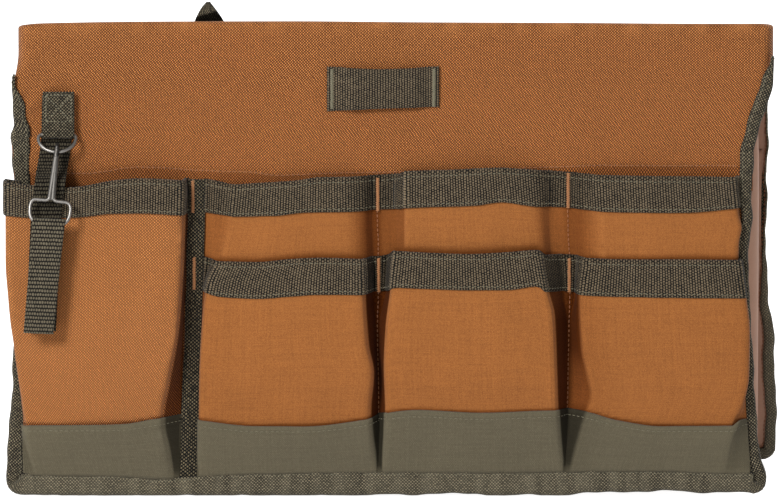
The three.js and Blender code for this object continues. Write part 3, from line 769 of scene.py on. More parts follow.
def pocket_strip(name, side, pockets, floor, mouth, low, base_top, material, seed, behind=None):
    """The strip's cloth, its base panels and the webbing over its mouth, each a piece of its own."""
    body, stands_for = side + "_apron", name.rstrip("s")
    at = lambda x, out, up: place(x, out, up, side)
    bottom = HEM_LINE if base_top is not None else (lambda x: np.full_like(np.asarray(x, float), floor))
    level = float(np.mean([mouth(p.face[0](150.0)) for p in pockets]))

    def section(share, nominal, start, end):
        return strip_grid(pockets, nominal, lambda x, k: start(x) + (end(x) - start(x)) * share[k], at, seed)

    def rubbed(sharp, most):
        """Lighter on the folds, more where the cloth turns sharply: rubbed wear with a painted highlight on each
        fold, and none where shade is painted.
        """
        edge = np.abs(np.gradient(np.gradient(out, axis=1), axis=1))
        return np.clip(smooth(edge, *sharp) * most * (0.6 + 0.6 * ripple(x, up, 9, 1, seed)), 0, 1) * (1 - painted_shade)

    share = spread((0, 0.1, 5), (0.1, 0.9, 70), (0.9, 1, 8))
    grid, x, out, up, painted_shade = section(share, floor + (level - floor) * share, bottom, mouth)
    wear_and_painted_light = rubbed((0.6, 1.8), 0.5)
    # Painted shade on the strip's cloth: on the pockets' turned-in sides, in a band just above the lower pockets'
    # mouths where the cloth goes behind them, and in a thin line just above the base panels' folded top edge.
    painted_shade = 0.86 * painted_shade
    if behind is not None:
        painted_shade = np.maximum(painted_shade, 0.6 * (1 - smooth(up - behind(x), 0, 6)))
    if base_top is not None:
        painted_shade = np.maximum(painted_shade, 0.6 * (1 - smooth(np.abs(up - base_top(x) - 0.4), 0.3, 2.2)))
    # Painted light: the tall pocket's canvas is mixed towards the lighter worn colour wherever no shade is painted,
    # for the brighter light on it.
    if material is CANVAS:
        wear_and_painted_light = np.maximum(wear_and_painted_light, 0.25 * (1 - painted_shade))
    piece = cloth(name, grid, CLOTH, [material, COATED], wear_and_painted_light=wear_and_painted_light - painted_shade)
    belongs(piece, body, "canvas", stands_for + "_strip")

    if base_top is not None:
        share = np.linspace(0, 1, 16)
        grid, x, out, up, painted_shade = section(share, floor + (BASE_SEAM + 2 - floor) * share, bottom, base_top)
        normals = grid_normals(grid)
        # Painted shade in the base panels' folds between the pockets, with rubbed wear and a painted highlight on
        # their folds.
        wear_and_painted_light = rubbed((0.2, 1.2), 0.6) - 0.8 * painted_shade
        under = grid[-3:-1][::-1] + normals[-3:-1][::-1] * 0.45
        panel = np.concatenate([grid + normals * 1.15, grid[-1:] + normals[-1:] * 0.8 + [0, 0, 0.35], under])
        wear_and_painted_light = np.concatenate([wear_and_painted_light, wear_and_painted_light[-3:]])
        piece = cloth(name + "_base", panel, CLOTH * 0.8, [BASE, BASE], wear_and_painted_light=wear_and_painted_light)
        belongs(piece, body, "base_cloth", stands_for + "_base")
        line = lerp(grid[-2], grid[-3], 0.35) + normals[-2] * 1.55
        stitch(name + "_base", line, normals[-2], 2.1, 1.3, 0.45, seed)

    tucked = 10
    share = spread((0, 0.12, 3), (0.12, 0.88, 9), (0.88, 1, 4))
    grid, x, out, up, painted_shade = section(share, level - TAPE_HEIGHT * (1 - share), low, mouth)
    normals = grid_normals(grid)
    camber = (0.28 * np.sin(share * math.pi)[:, None] ** 0.5 + ripple(x, up, 16, 0.12, seed + 5))[..., None]
    outside = grid + normals * (1.05 + camber)
    over = grid[-1:] + normals[-1:] * 0.35 + [0, 0, 0.75]
    panel = np.concatenate([outside, over, grid[::-1][:tucked] - normals[::-1][:tucked] * 1.0])
    high = np.concatenate([share * TAPE_HEIGHT, [TAPE_HEIGHT + 0.8], TAPE_HEIGHT + 1.5 + np.arange(tucked) * 1.6])
    # Painted shade on the webbing where it turns in at the pockets' sides.
    painted_shade = np.concatenate([painted_shade, painted_shade[-1:], painted_shade[::-1][:tucked]])
    uv = np.stack(np.meshgrid(lengths(grid[8]), high), -1)
    piece = cloth(name + "_tape", panel, WEBBING, [RIBBED, RIBBED], uv=uv, wear_and_painted_light=-0.6 * painted_shade)
    belongs(piece, body, "webbing", stands_for + "_tape")
    for k, part in ((2, 0.3), (-4, 0.5)):
        line = lerp(outside[k], outside[k + 1], part) + normals[k] * (WEBBING / 2 + 0.02)
        stitch(name + "_tape", line, normals[k], 2.2, 0.9, 0.5, seed + k)


def front_pockets():
    seam_a = [(0, -8.4), (60, -8), (110, -8.8), (150, -8), (185, -8.8), (215, -8.6)]
    seam_b = [(0, 113.2), (60, 114.5), (110, 115.4), (150, 116.4), (170, 115), (190, 114.6), (215, 115.2)]
    tape_edge = [(0, -125.4), (60, -124.5), (110, -122.6), (150, -121.6), (215, -120.4)]
    binding_edge = [(0, 232.5), (12, 232.5), (46, 230.8), (80, 229), (150, 225), (215, 226)]

    tall = Pocket(
        sewn=([(0, -238), (60, -239), (209, -241)], [(0, -138.5), (110, -134.6), (209, -131.2)]),
        face=([(10, -230.6), (30, -234.6), (46, -237.6), (58, -239.6), (87, -243.8), (100, -245.4), (114, -247.4),
               (130, -248.8), (155, -250.4), (209, -250.4)],
              [(10, -142.5), (31, -145.3), (50, -148.5), (77, -144), (110, -138), (155, -134.6), (209, -133)]),
        out=([(10, 3.2), (50, 6), (100, 6), (209, 4.5)],
             [(10, 3.4), (50, 13), (80, 17), (110, 16), (155, 9), (209, 3.4)]),
        swell=[(10, 0.4), (50, 3), (110, 8), (160, 13), (200, 13.5), (209, 13)],
        shape=0.62, radius=(1.6, 2.4), base=2.6, painted_shade=(0.3, 0.88),
    )
    mouth = curve((-252, 208.4), (-244, 207), (-235, 206), (-208, 204.4), (-180, 208.8), (-163, 210.2), (-131, 208.4))
    low = curve((-252, 187.6), (-235, 186.2), (-208, 186.2), (-180, 188.8), (-163, 189), (-131, 187))
    base = curve((-240, 47.5), (-205, 48.5), (-173, 49.8), (-150, 53.6), (-135, 54.2))
    pocket_strip("tall_pocket", "front", [tall], FLOOR, mouth, low, base, CANVAS, 41)

    upper = [
        Pocket(
            sewn=(tape_edge, seam_a),
            face=([(108, -113), (160, -110.5), (185, -106), (209, -103.6)], [(108, -17), (160, -19), (209, -20)]),
            out=([(108, 2.6), (150, 6.5), (209, 7)], [(108, 2.6), (150, 9), (209, 8)]),
            swell=[(108, 0.3), (160, 2.2), (209, 1.6)], land=[(108, 0.5), (150, 3), (209, 4)],
            radius=(3, 9), base=1.9, shade=(0.8, 2.15), painted_shade=(0.3, 0.8),
        ),
        Pocket(
            sewn=(seam_a, seam_b),
            face=([(108, 6), (160, 9), (209, 9.2)], [(108, 103), (160, 97), (209, 92)]),
            out=([(108, 2.6), (150, 8), (209, 8)], [(108, 2.6), (150, 9), (209, 9)]),
            swell=[(108, 0.3), (160, 1.6), (209, 2)], land=[(108, 0.5), (150, 12), (209, 12)],
            radius=(0.9, 14), base=1.9, shade=(0.95, 1.6), painted_shade=(0.5, 0.4),
        ),
        Pocket(
            sewn=(seam_b, binding_edge),
            face=([(108, 127), (160, 129), (209, 127)],
                  [(108, 222), (150, 225), (168, 225.6), (178, 227.4), (188, 225.2), (209, 223)]),
            out=([(108, 2.6), (150, 8.5), (209, 7.5)], [(108, 3.2), (150, 4.6), (209, 4.4)]),
            swell=[(108, 0.3), (160, 4.6), (209, 4.2)], land=[(108, 0.5), (150, 2), (209, 3)],
            shape=0.8, radius=(9, 1), base=1.9, shade=(0.8, 2.25), painted_shade=(0.6, 0.15),
        ),
    ]
    mouth = curve((-122, 208), (-108, 206), (-103.5, 205), (-83, 206.2), (-60, 208), (-46, 209.9), (-10, 210.4),
                  (6, 211.6), (10, 214), (38, 215), (70, 216.3), (84, 215.4), (114, 212.4), (150, 211.2),
                  (190, 210.6), (227, 209.6))
    low = curve((-122, 187.4), (-106, 185.8), (-101, 185.4), (-74, 186.2), (-56, 188.2), (-12, 189), (6, 189.8),
                (10, 191), (29, 192), (52, 192.8), (72, 195), (95, 191.6), (114, 190.4), (150, 188.6), (192, 188.2),
                (227, 191))
    lower = [
        Pocket(
            sewn=(tape_edge, seam_a),
            face=([(10, -124.6), (50, -124.4), (82, -124), (130, -121), (146, -118), (157, -113)],
                  [(10, -10), (53, -13.8), (82, -11.5), (101, -15), (130, -17), (157, -17.5)]),
            out=([(10, 3.6), (52, 8), (90, 11), (130, 11), (157, 9)],
                 [(10, 3.6), (52, 14), (90, 20), (130, 18), (157, 14)]),
            swell=[(10, 0.2), (60, 2), (120, 4), (157, 2.5)], land=[(10, 0.3), (110, 0.6), (135, 4), (157, 5)],
            radius=(1.2, 2.4), base=3.6, painted_shade=(0.6, 1),
        ),
        Pocket(
            sewn=(seam_a, seam_b),
            face=([(10, -5), (53, -3.2), (85, -4.2), (112, -3), (138, 0.2), (157, 2.4)],
                  [(10, 111), (52, 108), (85, 107), (120, 105.4), (138, 101), (157, 97)]),
            out=([(10, 3.6), (52, 11), (90, 16), (130, 15), (157, 14)],
                 [(10, 3.6), (52, 14), (85, 20), (130, 19), (157, 16)]),
            swell=[(10, 0.2), (60, 2), (120, 3.5), (157, 2)], land=[(10, 0.3), (110, 0.6), (135, 5), (157, 7)],
            radius=(1.2, 1.6), base=3.6, painted_shade=(1, [(10, 1), (112, 1), (134, 0.85), (157, 0.75)]),
        ),
        Pocket(
            sewn=(seam_b, binding_edge),
            face=([(10, 114.4), (44, 123), (56, 126.4), (65, 128.6), (80, 126), (98, 122.5), (130, 121), (157, 124)],
                  [(10, 217.4), (46, 222.4), (60, 228.6), (80, 232.4), (110, 233), (134, 230.6), (157, 227)]),
            out=([(10, 3.6), (52, 11), (85, 15), (130, 14), (157, 11)], [(10, 3.6), (46, 10), (80, 12), (157, 8)]),
            swell=[(10, 0.2), (60, 2), (120, 4.5), (157, 4)], land=[(10, 0.3), (110, 0.6), (135, 4), (157, 5)],
            radius=(2.4, 1.4), base=3.6, shade=(1.4, 2.25),
            painted_shade=([(10, 1), (50, 0.95), (60, 0.7), (80, 0.78), (100, 1), (125, 1), (157, 0.7)], 0.3),
        ),
    ]
    lower_mouth = curve((-122, 157.2), (-112, 155), (-87, 154.8), (-65, 157), (-46, 158), (-10, 157.2), (-1.5, 158.4),
                        (2.4, 162.4), (25, 161.4), (50, 160.8), (75, 162), (95, 163.4), (100, 159.6), (115, 158.4),
                        (150, 156.8), (190, 156.6), (229, 155.8))
    lower_low = curve((-122, 136.8), (-112, 133.6), (-87, 132.4), (-65, 134.2), (-46, 135.6), (-10, 135.6),
                      (-1.5, 136.4), (2.4, 140), (25, 139.4), (50, 138.8), (75, 139), (95, 141.4), (100, 137.4),
                      (115, 135.6), (150, 133.8), (190, 133), (229, 132.2))
    base = curve((-126, 51.5), (-90, 47.8), (-57, 48), (-14, 53.2), (-3, 56.5), (17, 58.8), (56, 57.2), (107, 58.8),
                 (125, 57.6), (147, 51.8), (175, 48), (222, 48), (226, 51.6), (231, 51.2))
    pocket_strip("upper_pockets", "front", upper, UPPER_FLOOR, mouth, low, None, POCKET, 51, behind=lower_mouth)
    pocket_strip("lower_pockets", "front", lower, FLOOR, lower_mouth, lower_low, base, POCKET, 61)
    return curve(*seam_a), curve(*seam_b)


def back_pockets():
    seams = [[(0, x - 10), (209, x)] for x in (-117, -3, 111)]
    left = [(0, -243.5), (58, -242), (90, -240.4), (128, -236.6), (209, -235.5)]
    right = [(0, 228.2), (40, 230), (90, 232.2), (150, 231.6), (209, 231)]
    lines = [left] + seams + [right]
    pockets = []
    for i, (a, b) in enumerate(zip(lines, lines[1:])):
        fa, fb = curve(*a), curve(*b)
        inset = [(10, 3), (50, 6 + i), (90, 5), (150, 9), (209, 12)]
        pockets.append(Pocket(
            sewn=(a, b),
            face=([(u, float(fa(u)) + d) for u, d in inset], [(u, float(fb(u)) - d * 0.8) for u, d in inset]),
            out=([(10, 3), (52, 12), (100, 17), (160, 13), (209, 10)],
                 [(10, 3), (52, 13), (100, 19), (160, 14), (209, 10)]),
            swell=[(10, 0.2), (80, 2.5), (150, 4), (209, 3)], radius=(1.6, 1.8), base=2.6,
        ))
    mouth = curve((-234, 209), (-180, 206.6), (-120, 209.4), (-60, 207.4), (-3, 209.6), (55, 207), (111, 209.2),
                  (170, 206.8), (230, 208.6))
    low = lambda x: mouth(x) - TAPE_HEIGHT - 0.6
    base = curve((-240, 50), (-180, 48), (-124, 53), (-60, 50), (-8, 54), (50, 50), (104, 54), (170, 49), (228, 50))
    pocket_strip("back_pockets", "back", pockets, FLOOR, mouth, low, base, POCKET, 71)
    return [curve(*s) for s in seams]


# ---- Lining: a flat tube that hangs from the inner edge of the ring, with a strip of small pockets on each wall ----
def liner(side):
    up = spread((21, 150, 14), (150, 286, 22), (286, 297, 4))
    depth = lerp(LINER_DEPTH - 0.4, 4.6, smooth(up, 150, 278))
    half = lerp(LINER_HALF - 6, RIM_HALF - 8, smooth(up, 200, 285))
    width = 480
    gap = np.concatenate([SIDE_STEPS, np.linspace(15, width - 15, 80)[1:-1], (width - SIDE_STEPS)[::-1]]) / width
    edge = np.minimum(gap, 1 - gap) * width
    x = half[:, None] * (2 * gap - 1)
    profile = np.sqrt(np.clip(1 - (1 - np.clip(edge[None] / np.maximum(depth[:, None], 5), 0, 1)) ** 2, 0, 1))
    z = np.broadcast_to(up[:, None], x.shape)
    y = -depth[:, None] * profile + ripple(x, z, 110, 0.8, 81) * smooth(edge, 5, 40) * smooth(290 - z, 0, 60)
    grid = np.stack([x, y, z], -1)
    if side == "back":
        grid[..., :2] *= -1
    piece = cloth("lining_" + side, grid, CLOTH, [COATED, COATED])
    belongs(piece, "root", "coating", "liner_" + side)
    inner_strip(side)


def inner_strip(side):
    sign = 1 if side == "front" else -1
    wall = LINER_DEPTH - 0.6
    at = lambda x, out, up: np.stack(np.broadcast_arrays(-sign * x, sign * (out - wall), up), -1)
    lines = (-180, -60, 60, 180)
    out = [(33, 2.4), (90, 5), (150, 5.6)]
    pockets = [
        Pocket(
            sewn=([(0, a), (200, a)], [(0, b), (200, b)]),
            face=([(0, a + 5), (200, a + 9)], [(0, b - 5), (200, b - 9)]), out=(out, out),
            swell=[(33, 0.1), (90, 1), (150, 0.8)], radius=(3, 3), base=1.3,
        )
        for a, b in zip(lines, lines[1:])
    ]
    mouth = curve((-180, 149.5), (-120, 148), (-60, 149.5), (0, 148), (60, 149.5), (120, 148), (180, 149.5))
    name = "inner_pockets_" + side
    share, foot = np.linspace(0, 1, 26), 33
    grid, *_ = strip_grid(pockets, foot + 116 * share, lambda x, k: foot + (mouth(x) - foot) * share[k], at, 85)
    piece = cloth(name, grid, CLOTH, [POCKET, COATED])
    belongs(piece, "root", "canvas", "inner_pocket_strip_" + side)
    normals = grid_normals(grid)
    for row in (-2, -3):
        stitch(name, grid[row] + normals[row] * (CLOTH / 2 + 0.05), normals[row], seed=86)


# ---- Webbing pieces ----
def ribbon(name, path, x, width, material, thickness, seed, painted_shade):
    """A strap of the front apron along (out, up) points, with its middle at x for each height."""
    step = 1.6
    line = evenly(path, step)
    t = np.linspace(-0.5, 0.5, 15)
    up = np.broadcast_to(line[:, 1:2], (len(line), len(t)))
    out = line[:, :1] + ripple(t * width, up, 24, 0.12, seed)
    grid = place(x(up) + t * width, out, up)
    uv = np.stack(np.meshgrid(t * width, np.arange(len(line)) * step), -1)[..., ::-1]
    # The strap is darkened evenly by its painted_shade amount.
    piece = cloth(name, grid, thickness, [material, material], uv=uv, wear_and_painted_light=np.full(grid.shape[:2], -painted_shade))
    belongs(piece, "front_apron", "webbing", name)


def divider_tape():
    middle = curve((0, -131.6), (60, -129.4), (110, -128.2), (150, -127), (215, -125.4))
    path = [(2.7, FLOOR), (3.1, 60), (3.1, 150), (3.3, 209)]
    width = curve((0, 13), (60, 12.4), (110, 11.6), (215, 10.6))
    line = evenly(path, 1.6)
    t = np.linspace(-0.5, 0.5, 11)
    up = np.broadcast_to(line[:, 1:2], (len(line), len(t)))
    bow = 0.9 * np.cos(t * math.pi)
    grid = place(middle(up) + t * width(up) + ripple(up, 0, 30, 0.3, 91), line[:, :1] + bow, up)
    uv = np.stack(np.meshgrid(t * 11, line[:, 1]), -1)
    piece = cloth("divider_tape", grid, 1.0, [DARK_NARROW, DARK_NARROW], uv=uv)
    belongs(piece, "front_apron", "binding_tape", "divider_tape")


def center_loop():
    low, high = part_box("center_loop")
    x0, x1 = low.x / MM, high.x / MM
    middle, half = (x0 + x1) / 2, (x1 - x0) / 2 + 0.1
    bottom, height = 254.6, 27
    top = curve((-half, 0.6), (0, -0.6), (half, 0.8))
    x, up = np.meshgrid(np.linspace(-half, half, 60), np.linspace(bottom, 281.8, 16))
    stand = 1.4 + 3.2 * smooth(half - np.abs(x), 6, 18) + ripple(x, up, 30, 0.2, 95)
    sag = (1.4 * x / half + 0.8 * (1 - (x / half) ** 2)) * (282 - up) / height
    grid = place(middle + x, stand, up + top(x) * (up - bottom) / height + sag)
    piece = cloth("center_loop", grid, WEBBING, [RIBBED, RIBBED])
    hang(piece)
    belongs(piece, None, "webbing", "center_loop")
    for s in (-1, 1):
        bar_tack("center_loop", middle + s * (half - 3.2), 2.35, 256 + 0.7 * s, 281 + 0.2 * s)


def ring_tab():
    x, out, ring_up, bend = RING_BAR[0] + 0.9, 5.4, 238.5, 2.1
    turn = [(out + bend * math.cos(a), ring_up + bend * math.sin(a)) for a in np.linspace(-math.pi, 0, 9)]
    path = [(3.1, 262), (3.1, 246), (3.2, 241)] + turn + [(6.6, 243), (5.1, 247), (5.0, 266.4)]
    ribbon("ring_tab", path, lambda up: x + 0 * up, 20.4, NARROW, WEBBING, 101, 0.15)
    a, b, low, high = x - 8.2, x + 8.2, 247.0, 264.4
    corners = [(a, low), (a, high), (b, high), (b, low), (a, low)]
    k = np.linspace(0, 1, 16)
    for (xa, ua), (xb, ub) in list(zip(corners, corners[1:])) + [((a, low), (b, high)), ((a, high), (b, low))]:
        stitch("ring_tab", place(lerp(xa, xb, k), 5.72, lerp(ua, ub, k)), facing("front"), 1.5, 0.7, 0.9, 102)


def back_run():
    """The strap's upper run, sewn under the ring tab, which hangs down behind the hook."""
    x = curve((100, -227.6), (150, -225), (195, -222.6), (212, -220.2), (235, -216.8), (265, -216))
    path = rounded([(1.7, 264), (1.7, 250), (1.8, 236), (3.4, 226), (7.5, 218.5), (14, 213.2), (19.2, 210),
                    (20.6, 203), (20.9, 190), (21, 160), (20.6, 130), (20.2, 112)], 6)
    # Painted shade: the back run lies behind the hook and is darkened for the shade there.
    ribbon("strap_back_run", path, x, 19.8, STRAP, 1.2, 111, 0.5)


# ---- Wire hardware, each in the frame of its own joint ----
def turn_x(v, a):
    c, s = math.cos(a), math.sin(a)
    return np.stack([v[..., 0], v[..., 1] * c - v[..., 2] * s, v[..., 1] * s + v[..., 2] * c], -1)


def turn_y(v, a):
    c, s = math.cos(a), math.sin(a)
    return np.stack([v[..., 0] * c + v[..., 2] * s, v[..., 1], -v[..., 0] * s + v[..., 2] * c], -1)


RING_LEAN = 0.75
HOOK_TILT, HOOK_LEAN, HOOK_LENGTH, HOOK_BEND = 0.11, 0.34, 47, 2.5


def rods(name, parts):
    """Several rods joined in one piece. Each is (path, radii, whether it takes the rougher nickel with painted shade)
    in millimetres.
    """
    points, faces, index, start = [], [], [], 0
    for path, radii, dull_shaded in parts:
        p, f = swept(path, radii)
        points.append(p)
        faces += [[v + start for v in face] for face in f]
        index += [int(dull_shaded)] * len(f)
        start += len(p)
    piece = mesh_object(name, np.concatenate(points), faces, [NICKEL, DULL_SHADED_NICKEL], index)
    belongs(piece, name, "wire", name)


def d_ring():
    half, drop, corner = 12.2, 13.6, 2.4
    arc = [(half * math.cos(a), 0, -corner - (drop - corner) * math.sin(a)) for a in np.linspace(math.pi, 0, 25)]
    bar = [(0.3, 0, 0), (half - corner, 0, 0), (half - 0.8, 0, -0.9)]
    path = [(-x, y, z) for x, y, z in bar] + arc + bar[::-1]
    path = evenly(rounded(path, 4), 0.8)
    world = turn_x(path, -RING_LEAN - TILT) + RING_BAR
    rods("d_ring", [(world, np.full((len(world), 2), WIRE), False)])


def wire_hook():
    """A stem of two wires side by side, which crests over the ring and opens below into the strap's loop."""
    bend, step = HOOK_BEND, 0.8
    neck = -HOOK_LENGTH + 14
    crest = [(0, bend * -math.cos(a), 2.3 + bend * math.sin(a)) for a in np.linspace(0, math.pi, 13)]
    stem = [(0, -bend, neck + 0.6), (0, -bend, -20), (0, -bend, -8)] + crest + [(0, bend, -3), (0, bend, -5.4)]
    stem = evenly(rounded(stem, 6), step)
    rise = stem[:, 2]
    wide = np.interp(rise, [neck, -22, -8, 3], [2.7, 2.3, 1.95, 1.5])
    wide = np.where(stem[:, 1] > 0, WIRE, wide)
    deep = np.interp(rise, [neck, -10, 3], [1.2, 1.2, 1.1])
    for size in (deep, wide):
        size[-3:] *= [0.97, 0.8, 0.4]
    half = 13.1
    side = [(1.2, neck + 8), (1.4, neck + 2.4), (2.8, neck + 0.5), (6.5, neck + 0.2), (half - 2.2, neck - 0.1),
            (half - 0.3, neck - 2.4), (half, neck - 7), (half - 0.9, -HOOK_LENGTH + 3),
            (half - 3, -HOOK_LENGTH + 0.4), (half - 6, -HOOK_LENGTH)]
    loop = [(-x, -bend, z) for x, z in side] + [(x, -bend, z) for x, z in side[::-1]]
    loop = evenly(rounded(loop, 6), step)
    apart = np.where(stem[:, 1] < 0, np.interp(rise, [neck, -22, -4], [1.15, 0.8, 0]), 0)
    radii = np.stack([wide - 0.85 * apart, deep], 1)
    parts = [(stem + np.stack([s * apart, 0 * apart, 0 * apart], 1), radii, True) for s in (-1, 1)]
    parts.append((loop, np.full((len(loop), 2), HOOK_WIRE), False))
    set_in = lambda path: turn_x(turn_x(turn_y(path, HOOK_TILT), -HOOK_LEAN), -TILT) + HOOK_SEAT
    rods("wire_hook", [(set_in(path), size, dull_shaded) for path, size, dull_shaded in parts])


def front_run():
    """The strap's free end: round the hook's bar and down."""
    bar, gap = 1.12, 0.15
    r = bar + WEBBING / 2 + gap
    over = [(r * math.cos(a), r * math.sin(a)) for a in np.linspace(math.pi, 0, 11)]
    path = rounded([(-r, -10), (-r, -5)] + over + [(r + 0.2, -6), (r - 0.1, -24), (0, -50), (-2.8, -73.5)], 6)
    step = 1.5
    line = evenly(path, step)
    t = np.linspace(-0.5, 0.5, 15)
    width = np.interp(line[:, 1], [-73, -20, 0], [19.4, 20.2, 21.2])[:, None]
    height = np.broadcast_to(line[:, 1:2], (len(line), len(t)))
    out = line[:, :1] + ripple(t * 20, height, 22, 0.12, 121)
    local = np.stack([t * width + 0.055 * height, -out, height], -1)
    world = turn_x(turn_y(local, HOOK_TILT * 0.35), -TILT) + HOOK_BAR
    uv = np.stack(np.meshgrid(t * 20, np.arange(len(line)) * step), -1)[..., ::-1]
    piece = cloth("strap_front_run", world, WEBBING, [STRAP, STRAP], uv=uv)
    belongs(piece, "holding_strap", "webbing", "strap_front_run")


def hammer_loop():
    """A webbing loop folded to a point, standing up out of the mouth."""
    low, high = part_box("hammer_loop")
    foot, peak = low.z / MM, high.z / MM
    middle = (low.x + high.x) / 2 / MM
    t = np.linspace(-1, 1, 21)
    up = spread((foot, 300, 10), (300, peak - 0.6, 22))
    rise = np.clip((up - 306) / (peak - 306), 0, 1)
    tip = middle + 1.3
    left = tip - 9.8 * np.sqrt(np.clip(1 - rise**1.5, 0, 1)) * (1 - 0.25 * rise)
    right = tip + 10 * (1 - rise**1.15)
    x = tip + np.where(t < 0, -t * (left - tip)[:, None], t * (right - tip)[:, None])
    z = np.broadcast_to(up[:, None], x.shape)
    crease = np.clip(1 - np.abs(t - 0.15), 0, 1) * rise[:, None] * (1 - rise[:, None]) * 4
    parts = []
    for sign in (1, -1):
        y = -sign * (1.2 * (1 - 0.55 * rise[:, None]) + 1.0 * crease) + ripple(x, z, 16, 0.15, 130 + sign)
        parts.append(np.stack([x, y, z], -1))
    grid = np.concatenate([parts[0], parts[1][::-1]])
    uv = np.stack(np.meshgrid(t * 10, lengths(grid[:, 10])), -1)[..., ::-1]
    # Painted shade: the loop is darkened below a slanting line near its top, and a little all over.
    below_shade_line = peak - grid[..., 2] - 6.9 + 0.33 * (grid[..., 0] - tip)
    piece = cloth("hammer_loop", grid, 1.1, [NARROW, NARROW], uv=uv, wear_and_painted_light=-0.8 * smooth(below_shade_line, -0.5, 0.5) - 0.1)
    belongs(piece, "root", "webbing", "hammer_loop")


# ---- Build ----
for which in SIDES:
    upper_cloth(which)
    backing(which)
    binding(which)
    liner(which)
seam_a, seam_b = front_pockets()
back_seams = back_pockets()
divider_tape()
center_loop()
ring_tab()
back_run()
d_ring()
wire_hook()
front_run()
hammer_loop()

span = np.linspace(-232, 232, 240)
for which in SIDES:
    low, high = (edge(214.0) for edge in OUTLINE[which])
    xs = span[(span > low + 9) & (span < high - 9)]
    line = place(xs, 1.85, YOKE_HEM[which](xs) + 3.2 + ripple(xs, 0, 40, 0.2, 141), which)
    stitch("yoke_" + which, line, facing(which), 2.8, 0.7, 0.8, 142)


def sew_seam(seam, out, low, high, count, seed, side="front"):
    up = np.linspace(low, high, count)
    group = "seams" if side == "front" else "back_seams"
    stitch(group, place(seam(up), out, up, side), facing(side), *SEAM_STITCH, seed=seed)


for seam, seed in ((seam_a, 151), (seam_b, 152)):
    sew_seam(seam, 2.5, 112, 214, 60, seed)
    sew_seam(seam, 4.2, 14, 158, 60, seed + 5)
for seam, seed in zip(back_seams, (161, 162, 163)):
    sew_seam(seam, 3.4, 14, 208, 80, seed, "back")

TACKS = [(-128.4, 4.9, 187.5, 208.5), (-127.6, 4.9, 137, 157.5), (-8.6, 4.3, 188.5, 210), (-8, 6.0, 135.5, 157.5),
         (114.8, 4.3, 190.5, 213), (115.6, 6.0, 135.5, 157.5)]
BACK_TACKS = [(float(seam(200.0)), 5.2, 188, 209) for seam in back_seams[::-1]]
for prefix, side, tacks in (("bar_tack_", "front", TACKS), ("back_bar_tack_", "back", BACK_TACKS)):
    for number, tack in enumerate(tacks, 1):
        name = prefix + str(number)
        bar_tack(name, *tack, side)
        sew(name, TACK_THREAD, side + "_apron", name)

for name, material, body in (
    ("yoke_front", ORANGE_THREAD, "front_apron"),
    ("yoke_back", ORANGE_THREAD, "back_apron"),
    ("seams", ORANGE_THREAD, "front_apron"),
    ("back_seams", ORANGE_THREAD, "back_apron"),
    ("tall_pocket_base", OLIVE_THREAD, "front_apron"),
    ("lower_pockets_base", OLIVE_THREAD, "front_apron"),
    ("back_pockets_base", OLIVE_THREAD, "back_apron"),
    ("tall_pocket_tape", OLIVE_THREAD, "front_apron"),
    ("upper_pockets_tape", OLIVE_THREAD, "front_apron"),
    ("lower_pockets_tape", OLIVE_THREAD, "front_apron"),
    ("back_pockets_tape", OLIVE_THREAD, "back_apron"),
    ("ring_tab", OLIVE_THREAD, "front_apron"),
    ("inner_pockets_front", ORANGE_THREAD, "root"),
    ("inner_pockets_back", ORANGE_THREAD, "root"),
):
    sew(name, material, body)
for name, material in (("binding_", OLIVE_THREAD), ("binding_inside_", ORANGE_THREAD)):
    for which in SIDES:
        hang(sew(name + which, material))
hang(sew("center_loop", OLIVE_THREAD))


# ---- Floor, light and camera ----
def floor_white():
    """White paper: it looks evenly white, and gives back some of the lamps' light."""
    n = Nodes("floor_white")
    n.shader.inputs["Base Color"].default_value = (0.8, 0.8, 0.8, 1)
    n.shader.inputs["Roughness"].default_value = 0.9
    n.shader.inputs["Emission Color"].default_value = (1, 1, 1, 1)
    n.put(n.shader.inputs["Emission Strength"], n.out(n.new("LightPath"), "Is Camera Ray") * 0.8 + 0.15)
    return n.material


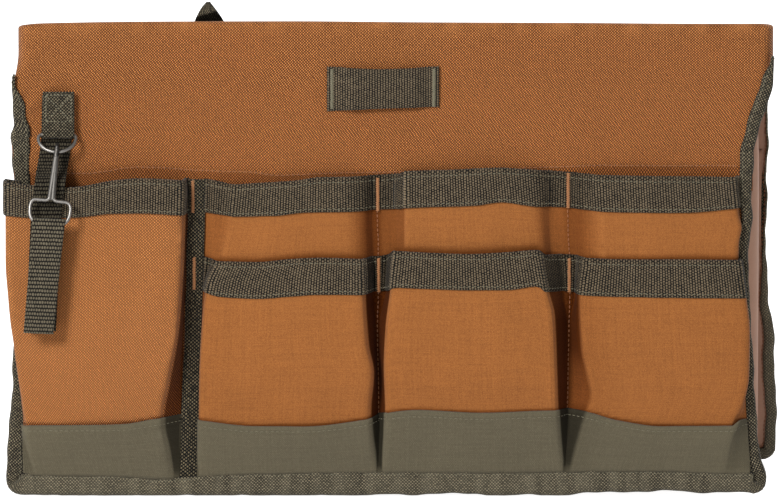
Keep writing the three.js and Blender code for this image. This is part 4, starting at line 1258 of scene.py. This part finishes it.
bpy.ops.mesh.primitive_plane_add(size=60, location=(0, 0, -0.0005))
floor = bpy.context.object
floor.name = "floor"
floor.data.materials.append(floor_white())

AIM = np.array([0.0, 0.0, 0.1538])
ELEVATION = math.radians(15)
DISTANCE = 12.0
FRAME_WIDTH = 0.5083
SENSOR = 36

camera = bpy.data.objects.new("camera", bpy.data.cameras.new("camera"))
bpy.context.scene.collection.objects.link(camera)
bpy.context.scene.camera = camera
camera.location = AIM + DISTANCE * np.array([0, -math.cos(ELEVATION), math.sin(ELEVATION)])
camera.rotation_euler = (math.pi / 2 - ELEVATION, 0, 0)
camera.data.sensor_width = SENSOR
camera.data.lens = SENSOR * DISTANCE / FRAME_WIDTH


def lamp(name, azimuth, elevation, distance, size, power):
    data = bpy.data.lights.new(name, "AREA")
    data.size, data.energy = size, power
    obj = bpy.data.objects.new(name, data)
    bpy.context.scene.collection.objects.link(obj)
    a, e = math.radians(azimuth), math.radians(elevation)
    direction = np.array([math.sin(a) * math.cos(e), -math.cos(a) * math.cos(e), math.sin(e)])
    obj.location = AIM + direction * distance
    obj.rotation_euler = (math.pi / 2 - e, 0, a)


lamp("key", -36, 33, 4.4, 1.1, 152)
lamp("fill", -8, 4, 4.0, 2.0, 10)
lamp("back", 152, 34, 4.4, 1.6, 110)

world = bpy.data.worlds.new("studio")
bpy.context.scene.world = world
world.use_nodes = True
tree = world.node_tree
backdrop, light = tree.nodes["Background"], tree.nodes.new("ShaderNodeBackground")
for node, strength in ((light, 0.24), (backdrop, 1.0)):
    node.inputs["Color"].default_value = (1, 1, 1, 1)
    node.inputs["Strength"].default_value = strength
choose = tree.nodes.new("ShaderNodeMixShader")
tree.links.new(tree.nodes.new("ShaderNodeLightPath").outputs["Is Camera Ray"], choose.inputs[0])
tree.links.new(light.outputs[0], choose.inputs[1])
tree.links.new(backdrop.outputs[0], choose.inputs[2])
tree.links.new(choose.outputs[0], tree.nodes["World Output"].inputs["Surface"])
bpy.context.scene.view_settings.view_transform = "Standard"
